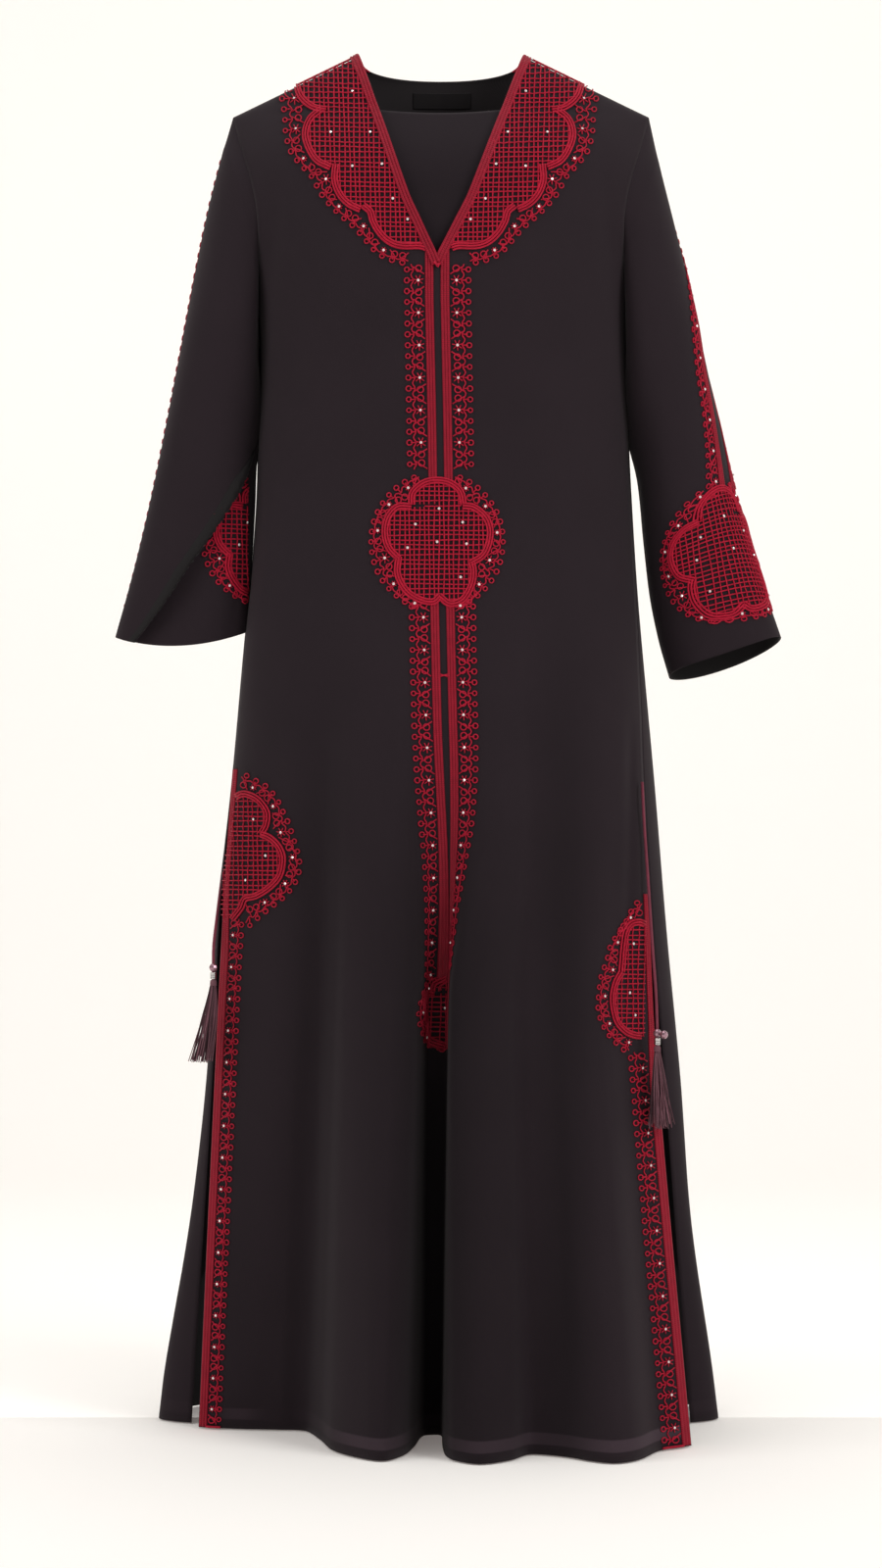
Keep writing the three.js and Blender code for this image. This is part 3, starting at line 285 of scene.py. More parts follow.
def neck_half(z):
    """Half width of the V at a height: nearly straight sides that close a little faster near its point."""
    return np.maximum(0, V_SIDES(z)) * (z > -V_DEPTH)


def back_neck_drop(x):
    """Drop of the back neckline below the shoulder line: drop times (1 - |x / half|^3)^(1/3)."""
    return BACK_NECK_DROP * np.cbrt(np.maximum(0, 1 - np.abs(x / NECK_HALF) ** 3))


def back_point(angle, row):
    """Superellipse x = W cos^(2/2.2), y = D sin^(2/2.2), whose depth grows from the shoulder line to
    the chest as a quarter ellipse, with bell-shaped folds that deepen towards the hem."""
    side, centre = row_height(row, "side"), row_height(row, "back")
    cos, sin = np.cos(angle), np.sin(angle)
    width = by_side(body, cos >= 0, side)
    x = width * power(cos, 2 / ROUNDNESS)
    reach = np.where(row <= ARM_ROW, by_side(armhole, cos > 0, side), width)
    z = lerp(centre, side, clamp(np.abs(x) / reach) ** 2)
    start_y = BACK_NECK_Y * np.sqrt(np.maximum(0, 1 - (x / NECK_HALF) ** 2))
    start_z = shoulder_z(x) - back_neck_drop(x)
    height = np.where(row < 1, lerp(start_z, z, np.minimum(row, 1)), z)
    fold = sum(depth * bump_at(np.degrees(angle), at, half) for at, half, depth in BACK_FOLDS)
    depth = np.where(sin < 0, body["lap"](side), body["back"](side) + fold * grown(z))
    full = depth * power(sin, 2 / ROUNDNESS)
    y = np.where(sin < 0, full, lerp(start_y, full, rounding(start_z, height)))
    settle = clamp(np.sin(angle) * 2) * smooth((start_z - height) / 60)
    y = y + back_creases(angle, z) * settle
    return np.stack(np.broadcast_arrays(x, body["mid"](side) + y, height), -1)


def seam_offset(right):
    """How far the front's side edge moves to meet the back's, as a curve over the height."""
    side = "right" if right else "left"
    rows = np.linspace(ARM_ROW, len(ROWS) - 1, 120)
    z = row_height(rows, "side")
    angle = edge_angle(rows, right)
    target = back_point(angle if right else np.pi - angle, rows)
    own = front_calm(edge["front_" + side](z) * (1 if right else -1), z)
    slit = SLIT_RIGHT if right else SLIT_LEFT
    gap = (target - own) * (1 - smooth((slit - z) / 60))[:, None]
    return lambda at: np.stack([np.interp(at, z[::-1], gap[::-1, k]) for k in range(3)], -1)


def front_creases(u, z):
    """Soft folds of the front along its depth, positive towards the back. Each is a bell across the
    cloth whose place drifts with the height."""
    skirt = smooth((-470 - z) / 500)
    rolls = skirt * (5.0 * (bump_at(u, -122, 30) + bump_at(u, 122, 34)) - 4.0 * bump_at(u, -66, 28)
                     - 4.0 * bump_at(u, 40, 30) - 3.5 * bump_at(u, 180, 22))
    rolls = rolls + 10 * bump_at(u, -16, 13) * smooth((-820 - z) / 160) * smooth((1340 + z) / 200)
    bust = -3.0 * (bump_at(u, -98, 52) + bump_at(u, 96, 52)) * bump_at(z, -236, 62)
    waist = 2.0 * bump_at(z, -450, 130) * bump_at(np.abs(u), 120, 60)
    arms = 4.5 * bump_at(np.abs(u), 176 - 0.1 * (z + 262), 12) * bump_at(z, -205, 60)
    hip = 3.5 * bump_at(u, 190 - 0.02 * (-700 - z), 5) * smooth((-660 - z) / 60) * smooth((1010 + z) / 200)
    return rolls + bust + waist + arms + hip


def front_calm(u, z):
    """Front panel at a distance u from the centre line and a height: y = mid - front depth times
    (1 - |u / W|^2.2)^(1/2.2), blended towards the folded hem line by the folds' growth."""
    right = u > 0
    width = by_side(body, right, z)
    reach = by_side(edge, right, z, "front_")
    hem_width = np.where(right, HEM_RIGHT, HEM_LEFT)
    column = np.sign(u) * column_of(np.abs(u), hem_width, reach)
    share = (1 - clamp(np.abs(u) / width) ** ROUNDNESS) ** (1 / ROUNDNESS)
    calm = body["mid"](z) - body["front"](z) * share * rounding(shoulder_z(u), z)
    turned = smooth((TURN_TOP - z) / (TURN_TOP - TURN_END))
    drift = edge["centre"](z) * (1 - clamp(np.abs(u) / width)) * clamp(-z / V_DEPTH)
    shift = (hem["x"](column) - column) * turned
    y = lerp(calm, hem["y"](column), grown(z))
    return np.stack(np.broadcast_arrays(u + drift + shift, y, z), -1)


SEAM_RIGHT = seam_offset(True)
SEAM_LEFT = seam_offset(False)
SEAM_BLEND = 20.0


def front_point(u, z):
    """The calm front with its creases, drawn to the side seams over the last two centimetres."""
    u, z = np.broadcast_arrays(np.asarray(u, float), np.asarray(z, float))
    point = front_calm(u, z)
    reach = by_side(edge, u > 0, z, "front_")
    near = bump_at(np.maximum(reach - np.abs(u), 0), 0, SEAM_BLEND)[..., None]
    near = near * (z <= ROWS[ARM_ROW, 0])[..., None]
    point = point + np.where((u > 0)[..., None], SEAM_RIGHT(z), SEAM_LEFT(z)) * near
    settle = smooth((shoulder_z(u) - z) / 60) * smooth((reach - np.abs(u)) / 8)
    above = smooth((shoulder_z(u) - z) / 60)
    point[..., 1] += front_creases(u, z) * np.where(z < ROWS[ARM_ROW, 0], settle, above)
    return point


def front_grid(columns, rows):
    """Columns run in hem measure from the left edge to the right one, rows from the shoulder down."""
    column, row = np.meshgrid(columns, rows)
    side, centre = row_height(row, "side"), row_height(row, "front")
    right = column > 0
    hem_width = np.where(right, HEM_RIGHT, HEM_LEFT)
    outer = np.where(row <= ARM_ROW, by_side(armhole, right, side), by_side(edge, right, side, "front_"))
    inner = neck_half(centre)
    across = column_place(np.abs(column), hem_width, outer - inner)
    u = np.where(right, 1, -1) * (inner + across)
    z = lerp(centre, side, across / (outer - inner))
    return u, z


# ------------------------------------------------------------------ sleeves
def section_at(side, section, across, forward):
    """Point of a sleeve section: across runs from the underarm, -1, to the outer arm, 1, and forward
    from the back, -1, to the front, 1."""
    ox, oz, ix, iz, depth, draw, tilt, sag = section[:8]
    x = (ox + ix) / 2 + (ox - ix) / 2 * across - draw * forward ** 2
    z = (oz + iz) / 2 + (oz - iz) / 2 * across + tilt * forward - sag * (1 - across ** 2)
    return np.stack(np.broadcast_arrays(side * x, -depth * forward, z), -1)


def sleeve_column(side, k):
    """Smooth curve through one column of a sleeve's table, over the number of the section."""
    table = SLEEVES[side]
    return smooth_curve(np.arange(len(table)), table[:, k])


def sleeve_sections(side, s):
    """All columns of a sleeve's table at a place s along it, 0 at the first section."""
    return [sleeve_column(side, k)(s) for k in range(SLEEVES[side].shape[1])]


def ring_point(side, section, t):
    """Sleeve section at a share t of the way round, from the outer arm over the front. Where the
    section has a fold, the front ends at the fold's edge, is tucked back under itself and goes on to the
    underarm a little below."""
    fold = section[8]
    depth = clamp(fold / 0.12)
    edge_across = -1 + 2 * fold
    edge_turn = np.arccos(power(edge_across, SLEEVE_ROUNDNESS / 2))
    split = edge_turn / (2 * np.pi)
    angle = np.where(t < split, 2 * np.pi * t, np.where(t > 0.5, 2 * np.pi * t, np.pi))
    across = power(np.cos(angle), 2 / SLEEVE_ROUNDNESS)
    forward = power(np.sin(angle), 2 / SLEEVE_ROUNDNESS)
    v = clamp((t - split) / np.maximum(0.5 - split, 1e-6))
    tuck = FOLD_RETURN * depth
    tucked = v < TUCK_SHARE
    beyond = (v - TUCK_SHARE) / (1 - TUCK_SHARE)
    out = edge_across + tuck * np.sin(np.pi * clamp(v / TUCK_SHARE)) ** 0.8
    under_across = np.where(tucked, out, lerp(edge_across, -1.0, clamp(beyond)))
    drop = FOLD_DROP * depth * np.where(tucked, smooth(v / TUCK_SHARE), 1 - 0.45 * beyond)
    drop = drop * smooth((1 - v) / 0.12)
    top = (1 - np.abs(np.clip(under_across, -1, 1)) ** SLEEVE_ROUNDNESS) ** (1 / SLEEVE_ROUNDNESS)
    under_forward = np.maximum(top - drop / section[4], -0.2)
    under = (t >= split) & (t <= 0.5) & (fold > 1e-4)
    across = np.where(under, under_across, across)
    forward = np.where(under, under_forward, forward)
    return section_at(side, section, across, forward)


def armhole_loop(side, t):
    """Armhole seam at a share t of the way round: down the front edge and up the back edge."""
    right = side > 0
    name = "right" if right else "left"
    row = 2 * ARM_ROW * np.minimum(t, 1 - t)
    z = row_height(row, "side")
    u = armhole[name](z)
    front = front_point(side * u, z)
    angle = edge_angle(row, right)
    back = back_point(angle if right else np.pi - angle, row)
    point = np.where((t <= 0.5)[..., None], front, back)
    point[..., 1] = np.where(row < 1e-6, 0, point[..., 1])
    return point


def sleeve_creases(side, s, t, length):
    """Drapes of a sleeve along its normal: long soft rolls and short wrinkles under the arm."""
    roll = 1.6 * np.sin(2 * np.pi * t * 3 + s * 0.55 + (0.8 if side > 0 else 2.1)) * smooth(s / 2)
    elbow = 2.2 * bump_at(s, 2.3, 0.5) * np.sin(2 * np.pi * t * 2 + 1.2) * bump_at(t, 0.4, 0.16)
    pit = -2.6 * bump_at(t, 0.46, 0.05) * bump_at(s, 0.7, 0.55)
    return (roll + elbow + pit) * smooth((length - 1 - s) / 1.5 + 0.25)


def sleeve_point(side, s, t):
    """Sleeve at a place s along it, -1 at the armhole and 0 at its first section, and t round it."""
    s, t = np.broadcast_arrays(np.asarray(s, float), np.asarray(t, float))
    ring = ring_point(side, sleeve_sections(side, np.maximum(s, 0)), t)
    loop = armhole_loop(side, t)
    near = clamp(s + 1)
    near = (near * near * (1.6 - 0.6 * near))[..., None] ** 0.8
    return np.where((s < 0)[..., None], lerp(loop, ring, near), ring)


# ------------------------------------------------------------------ meshes
def quads_of(rows, columns, keep=None):
    """Faces of a grid, in the order down, right, up."""
    r, c = np.meshgrid(np.arange(rows - 1), np.arange(columns - 1), indexing="ij")
    a = r * columns + c
    quads = np.stack([a, a + columns, a + columns + 1, a + 1], -1).reshape(-1, 4)
    return quads if keep is None else quads[keep(r, c).ravel()]


def face_normals(points, quads):
    """Normal of each face by its diagonals, as long as the face is large."""
    return np.cross(points[quads[:, 2]] - points[quads[:, 0]], points[quads[:, 3]] - points[quads[:, 1]])


def vertex_normals(points, quads):
    """Mean of the normals of the faces round each point."""
    n = face_normals(points, quads)
    out = np.zeros_like(points)
    for k in range(4):
        np.add.at(out, quads[:, k], n)
    return unit(out)


def thin_shell(points, quads, thickness):
    """The sheet, its copy moved inwards along the normals, and a rim along the open edges."""
    count = len(points)
    inner = points - vertex_normals(points, quads) * thickness
    pairs = np.stack([quads, np.roll(quads, -1, 1)], -1).reshape(-1, 2)
    key = pairs.min(1).astype(np.int64) * count + pairs.max(1)
    _, first, uses = np.unique(key, return_index=True, return_counts=True)
    a, b = pairs[first[uses == 1]].T
    rim = np.stack([b, a, a + count, b + count], -1)
    return np.concatenate([points, inner]), quads, quads[:, ::-1] + count, rim


def mesh_from(name, points, groups, corners=None, indices=None):
    """Mesh from points in millimetres, groups of faces with one number of corners each, and the
    texture place of each face corner."""
    groups = [np.asarray(g, np.int32) for g in groups if len(g)]
    loops = np.concatenate([g.ravel() for g in groups])
    sizes = np.concatenate([np.full(len(g), g.shape[1]) for g in groups])
    mesh = bpy.data.meshes.new(name)
    mesh.vertices.add(len(points))
    mesh.vertices.foreach_set("co", (np.asarray(points) * MM).astype(np.float32).ravel())
    mesh.loops.add(len(loops))
    mesh.loops.foreach_set("vertex_index", loops)
    mesh.polygons.add(len(sizes))
    mesh.polygons.foreach_set("loop_start", np.concatenate([[0], np.cumsum(sizes)[:-1]]).astype(np.int32))
    mesh.polygons.foreach_set("use_smooth", np.ones(len(sizes), bool))
    if indices is not None:
        mesh.polygons.foreach_set("material_index", np.asarray(indices, np.int32))
    if corners is not None:
        uv = mesh.uv_layers.new(name="UVMap")
        uv.data.foreach_set("uv", np.asarray(corners, np.float32).ravel())
    mesh.update(calc_edges=True)
    return mesh


def piece(name, mesh, materials, slot, *nodes):
    """Object at the origin that rides on the body and stands for the named nodes."""
    thing = bpy.data.objects.new(name, mesh)
    bpy.context.scene.collection.objects.link(thing)
    for material in materials:
        mesh.materials.append(material)
    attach(thing, "root")
    if nodes:
        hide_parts(*nodes)
    return thing


def set_attribute(mesh, name, values):
    """Number for each point of a mesh, which its finish reads by name."""
    attribute = mesh.attributes.new(name, "FLOAT", "POINT")
    attribute.data.foreach_set("value", np.asarray(values, np.float32))


def lined(points, quads, flat, thickness):
    """Closed shell of a sheet: its points, the faces of outside, inside and rim, and the places of
    their corners in the flat cloth."""
    shell, *groups = thin_shell(points, quads, thickness)
    flat = np.concatenate([flat, flat]) * MM
    return shell, groups, np.concatenate([flat[g.ravel()] for g in groups])


def cloth_piece(name, points, quads, flat, materials, slot, *nodes, thickness=0.9, hem_above=None,
                light=0.08, darkening=None):
    """Closed shell of a sheet: lining on its inner side, and texture places in the flat cloth."""
    shell, groups, corners = lined(points, quads, flat, thickness)
    inside = min(1, len(materials) - 1)
    indices = np.repeat([0, inside, 0], [len(g) for g in groups])
    mesh = mesh_from(name, shell, groups, corners, indices)
    # height above the hem, and the share of painted light that brightens the unlined band there
    if hem_above is not None:
        set_attribute(mesh, "above_hem", np.tile(hem_above, 2) * MM)
        set_attribute(mesh, "painted_light_through", np.tile(np.broadcast_to(light, len(points)), 2))
    # painted shade of the skirt's folds, which darkens the base colour
    if darkening is not None:
        set_attribute(mesh, "painted_shade_and_tone", np.tile(darkening, 2))
    return piece(name, mesh, materials, slot, *nodes)


def circle_round(side, up, angle):
    """Unit circle in the plane of two directions, at each of their places: side cos a + up sin a."""
    return np.cos(angle)[None, :, None] * side[:, None] + np.sin(angle)[None, :, None] * up[:, None]


def tube(path, radius, sides=10, turn=0.0):
    """Round tube along a path: radius may change from point to point. Returns points, faces, corners."""
    path = np.asarray(path, float)
    radius = np.broadcast_to(np.asarray(radius, float), (len(path),))
    tangent = unit(np.gradient(path, axis=0))
    side = unit(np.cross(tangent, (0.31, 0.9, 0.3)))
    up = np.cross(tangent, side)
    ring = circle_round(side, up, 2 * np.pi * np.arange(sides) / sides + turn)
    points = (path[:, None] + radius[:, None, None] * ring).reshape(-1, 3)
    r, c = np.meshgrid(np.arange(len(path) - 1), np.arange(sides), indexing="ij")
    a, b = r * sides + c, r * sides + (c + 1) % sides
    quads = np.stack([a, b, b + sides, a + sides], -1).reshape(-1, 4)
    reached = distance_along(path) * MM
    u0, u1 = c / sides, (c + 1) / sides
    v0, v1 = reached[r], reached[r + 1]
    corners = np.stack([u0, v0, u1, v0, u1, v1, u0, v1], -1).reshape(-1, 2)
    ends = np.stack([np.arange(sides)[::-1], np.arange(sides) + (len(path) - 1) * sides])
    corners = np.concatenate([corners, np.zeros((2 * sides, 2))])
    return points, [quads, ends], corners


def lathe(profile, centre, steps=32):
    """Closed surface of revolution of a profile of (radius, height) that starts and ends on the axis."""
    profile = np.asarray(profile, float)
    angle = 2 * np.pi * np.arange(steps) / steps
    body_rows = profile[1:-1]
    ring = np.stack([
        body_rows[:, :1] * np.cos(angle), body_rows[:, :1] * np.sin(angle),
        np.repeat(body_rows[:, 1:], steps, 1),
    ], -1).reshape(-1, 3)
    points = np.concatenate([ring, [(0, 0, profile[0, 1])], [(0, 0, profile[-1, 1])]]) + centre
    rows = len(body_rows)
    r, c = np.meshgrid(np.arange(rows - 1), np.arange(steps), indexing="ij")
    a, b = r * steps + c, r * steps + (c + 1) % steps
    quads = np.stack([a, a + steps, b + steps, b], -1).reshape(-1, 4)
    c = np.arange(steps)
    top, bottom = rows * steps, rows * steps + 1
    first = np.stack([np.full(steps, top), c, (c + 1) % steps], -1)
    last_row = (rows - 1) * steps
    end = np.stack([np.full(steps, bottom), last_row + (c + 1) % steps, last_row + c], -1)
    return points, quads, np.concatenate([first, end])


def smooth_path(points, steps):
    """Catmull-Rom curve through the points, resampled at equal distances."""
    points = np.asarray(points, float)
    padded = np.concatenate([[2 * points[0] - points[1]], points, [2 * points[-1] - points[-2]]])
    t = np.linspace(0, 1, 12, endpoint=False)[None, :, None]
    p0, p1, p2, p3 = (padded[k:len(padded) - 3 + k][:, None] for k in range(4))
    curve = 0.5 * (2 * p1 + (p2 - p0) * t + (2 * p0 - 5 * p1 + 4 * p2 - p3) * t ** 2
                   + (3 * p1 - p0 - 3 * p2 + p3) * t ** 3)
    curve = np.concatenate([curve.reshape(-1, points.shape[1]), points[-1:]])
    reached = distance_along(curve)
    even = np.linspace(0, reached[-1], steps)
    return np.stack([np.interp(even, reached, curve[:, k]) for k in range(points.shape[1])], -1)


# ------------------------------------------------------------------ places on the cloth for trims
EYE_Y, EYE_Z = 3600.0, -742.0  # distance of the viewer from the shoulders' plane, and eye level


def front_u(x, z):
    """Distance from the centre line of a point of the front at x, the drift of that line taken off."""
    width = by_side(body, x > 0, z)
    drift = edge["centre"](z) * clamp(-z / V_DEPTH)
    return (x - drift) / (1 - np.where(x > 0, 1, -1) * drift / width)


def seen(x, z, surface, start=-120.0):
    """Point of the cloth behind (x, z) of the shoulders' plane, along the viewer's sight line: its depth
    is found by putting it back into the surface a few times."""
    y = np.full(np.shape(x), start)
    for _ in range(5):
        k = (EYE_Y + y) / EYE_Y
        point = surface(x * k, EYE_Z + (z - EYE_Z) * k)
        y = point[..., 1]
    return point


def front_seen(x, z):
    return seen(x, z, lambda a, b: front_point(front_u(a, b), b))


def front_left_edge(d, z):
    """Front at a distance d from its left side edge."""
    return front_point(d - edge["front_left"](z), z)


def front_right_edge(d, z):
    """Front at a distance d from its right side edge, the distance counted negative to keep its hand."""
    return front_point(edge["front_right"](z) + d, z)


def sleeve_down(side):
    """Curve from the distance down the outer arm to the place s along the sleeve."""
    s = np.linspace(0, len(SLEEVES[side]) - 1, 200)
    line = np.stack([sleeve_column(side, k)(s) for k in (0, 1)], -1)
    return lambda q: np.interp(-q, distance_along(line), s)


def sleeve_flat(side):
    """Sleeve at a distance p in front of its outermost line and q, negative, down from the first
    section."""
    down, depth = sleeve_down(side), sleeve_column(side, 4)

    def at(p, q):
        s = down(q)
        return sleeve_skin(side, s, side_turn(p / (depth(s) * 0.95)))

    return at


def side_turn(angle):
    """Share of the way round for an angle, which may be a little behind the outermost line."""
    return np.mod(angle / (2 * np.pi), 1.0)


def sleeve_skin(side, s, t):
    """The sleeve's cloth with its creases, by its own normals."""
    point = sleeve_point(side, s, t)
    ds = sleeve_point(side, s + 0.01, t) - sleeve_point(side, s - 0.01, t)
    dt = sleeve_point(side, s, np.mod(t + 0.002, 1)) - sleeve_point(side, s, np.mod(t - 0.002, 1))
    normal = unit(np.cross(ds, dt)) * -side
    return point + normal * sleeve_creases(side, s, t, len(SLEEVES[side]))[..., None]


def by_newton(skin, start, span):
    """Surface seen level from the front: from (x, z) to the cloth, by Newton's steps in the two
    parameters of the skin."""
    def project(a, b):
        point = skin(a, b)
        return point[..., 0], point[..., 2]

    def at(p, q):
        p, q = np.broadcast_arrays(np.asarray(p, float), np.asarray(q, float))
        a, b = np.full(p.shape, start[0]), np.full(p.shape, start[1])
        step_a, step_b = span
        for _ in range(12):
            u, v = project(a, b)
            ua, va = (x - y for x, y in zip(project(a + step_a, b), (u, v)))
            ub, vb = (x - y for x, y in zip(project(a, b + step_b), (u, v)))
            det = ua * vb - ub * va
            det = np.where(np.abs(det) < 1e-7, 1e-7, det)
            eu, ev = p - u, q - v
            a = a + step_a * np.clip((vb * eu - ub * ev) / det, -60, 60)
            b = b + step_b * np.clip((ua * ev - va * eu) / det, -25, 25)
        return skin(a, b)

    return at


def sleeve_under(side):
    """The sleeve's layer below its fold, seen from the front."""
    fold = sleeve_column(side, 8)

    def skin(s, v):
        split = np.arccos(power(-1 + 2 * fold(s), SLEEVE_ROUNDNESS / 2)) / (2 * np.pi)
        return sleeve_skin(side, s, lerp(split, 0.5, np.clip(v, 0.02, 0.98)))

    return by_newton(skin, (6.6, 0.62), (0.01, 0.004))


def lift(surface, pq, height, outward=1.0):
    """Points above a surface: the place itself plus the height along its normal."""
    p, q = pq[..., 0], pq[..., 1]
    step = 0.6
    dp = surface(p + step, q) - surface(p - step, q)
    dq = surface(p, q + step) - surface(p, q - step)
    normal = unit(np.cross(dp, dq)) * outward
    return surface(p, q) + normal * np.asarray(height)[..., None], normal


# ------------------------------------------------------------------ threads, braids and gems
def threads(surface, runs, sides=5, outward=1.0):
    """Round threads on the cloth. A run is (points (p, q, height), radius, closed); all are carried
    onto the surface at once."""
    count = np.array([len(r[0]) for r in runs])
    first = np.repeat(np.concatenate([[0], np.cumsum(count)[:-1]]), count)
    last = first + np.repeat(count, count) - 1
    flat = np.concatenate([r[0] for r in runs])
    radius = np.repeat([r[1] for r in runs], count)
    closed = np.repeat([r[2] for r in runs], count)
    i = np.arange(len(flat))
    after = np.where(i == last, np.where(closed, first, i), i + 1)
    before = np.where(i == first, np.where(closed, last, i), i - 1)
    world, normal = lift(surface, flat[:, :2], flat[:, 2], outward)
    tangent = unit(world[after] - world[before])
    side = unit(np.cross(normal, tangent))
    up = np.cross(tangent, side)
    ring = circle_round(side, up, 2 * np.pi * (np.arange(sides) + 0.5) / sides)
    points = (world[:, None] + radius[:, None, None] * ring).reshape(-1, 3)
    go = i[(i != last) | closed]
    c = np.arange(sides)
    d = (c + 1) % sides
    quads = np.stack([
        go[:, None] * sides + c, go[:, None] * sides + d,
        after[go][:, None] * sides + d, after[go][:, None] * sides + c], -1).reshape(-1, 4)
    heads = i[(i == first) & ~closed][:, None] * sides + c[::-1]
    tails = i[(i == last) & ~closed][:, None] * sides + c
    faces = [quads, np.concatenate([heads, tails])]
    size = sum(f.size for f in faces)
    return points, faces, np.zeros((size, 2))


BRAID_BACK = 0.6  # thickness of a braid below its ridges


def braid(surface, line, half, ridges=3, height=1.3, outward=1.0, step=2.0, base=0.3):
    """Flat braid along a line in the cloth: a strip whose section is a row of rounded ridges,
    h = low + height sqrt|sin(ridges pi w)|, closed underneath."""
    half = np.broadcast_to(half, len(line))
    line = smooth_path(line, max(4, int(path_length(line) / step)))
    half = np.interp(np.linspace(0, 1, len(line)), np.linspace(0, 1, len(half)), half)[:, None]
    across = unit(np.gradient(line, axis=0))[:, ::-1] * (1, -1)
    w = np.linspace(-1, 1, 6 * ridges + 1)
    pq = line[:, None] + across[:, None] * (w * half)[..., None]
    h = base + height * np.abs(np.sin(ridges * np.pi * (w + 1) / 2)) ** 0.5
    points, _ = lift(surface, pq, np.broadcast_to(h, pq.shape[:2]), outward)
    rows, columns = pq.shape[:2]
    quads = quads_of(rows, columns)
    points = points.reshape(-1, 3)
    facing = vertex_normals(points, quads)
    _, normal = lift(surface, line, np.zeros(len(line)), outward)
    if (facing.reshape(rows, columns, 3)[:, columns // 2] * normal).sum() < 0:
        quads = quads[:, ::-1]
    flat = np.stack(np.broadcast_arrays(w * half, distance_along(line)[:, None]), -1).reshape(-1, 2)
    return lined(points, quads, flat, BRAID_BACK)


def path_length(line):
    return float(np.linalg.norm(np.diff(np.asarray(line, float), axis=0), axis=1).sum())


def offset(line, distance):
    """Line beside another in the cloth."""
    return line + unit(np.gradient(line, axis=0))[:, ::-1] * (1, -1) * distance


def with_height(line, height):
    return np.concatenate([line, np.broadcast_to(np.asarray(height, float), len(line))[:, None]], 1)


def corded_edge(line, width=7.6, cords=3):
    """Runs of a border of parallel cords."""
    line = smooth_path(line, max(6, int(path_length(line) / 2.2)))
    radius = width / cords / 2
    places = (np.arange(cords) - (cords - 1) / 2) * 2 * radius
    return [(with_height(offset(line, place), radius + (0.5 if k % 2 else 0.1)), radius * 0.9, False)
            for k, place in enumerate(places)]


def inside(points, outline):
    """Even-odd rule: whether points lie in a closed outline."""
    a, b = outline, np.roll(outline, -1, 0)
    x, y = points[:, :1], points[:, 1:]
    crosses = (a[None, :, 1] > y) != (b[None, :, 1] > y)
    rise = b[:, 1] - a[:, 1]
    rise = np.where(np.abs(rise) < 1e-9, 1e-9, rise)
    at = a[:, 0] + (y - a[:, 1]) * (b[:, 0] - a[:, 0]) / rise
    return (crosses & (x < at)).sum(1) % 2 == 1


def split_runs(run, keep):
    """Stretches of a run that a test keeps."""
    points, radius, _ = run
    kept = keep(points)
    if kept.all():
        return [run]
    marks = np.flatnonzero(np.diff(np.concatenate([[0], kept.astype(int), [0]])))
    return [(points[a:b], radius, False) for a, b in zip(marks[::2], marks[1::2]) if b - a > 2]


def kept_runs(runs, keep):
    """What a test keeps of all the runs."""
    return [part for run in runs for part in split_runs(run, keep)]


def borders(lobes):
    """Runs of the corded borders along the lobes."""
    return [run for lobe in lobes for run in corded_edge(np.array(lobe, float))]


def lattice(outline, pitch=5.0, radius=0.74, lean=0.0):
    """Runs of a woven lattice within an outline: upright and level threads that pass over and under
    each other and waver a little."""
    low, high = outline.min(0) - pitch, outline.max(0) + pitch
    keep = lambda points: inside(points[:, :2], outline)
    runs = []
    for axis in (0, 1):
        other = 1 - axis
        along = np.arange(low[other], high[other], 1.5)
        for k, place in enumerate(np.arange(low[axis], high[axis], pitch)):
            points = np.empty((len(along), 3))
            wander = 0.55 * np.sin(along / 19 + k * 1.7 + axis) + lean * (along - along.mean())
            points[:, axis] = place + wander
            points[:, other] = along
            phase = (along - low[other]) / pitch + k + axis
            points[:, 2] = radius + 0.35 + 0.4 * np.cos(np.pi * phase)
            runs += split_runs((points, radius, False), keep)
    return runs


def ring_run(centre, radius, thread, points=9, height=1.1):
    angle = 2 * np.pi * np.arange(points) / points
    loop = np.stack([centre[0] + radius * np.cos(angle), centre[1] + radius * np.sin(angle)], -1)
    return with_height(loop, height), thread, True


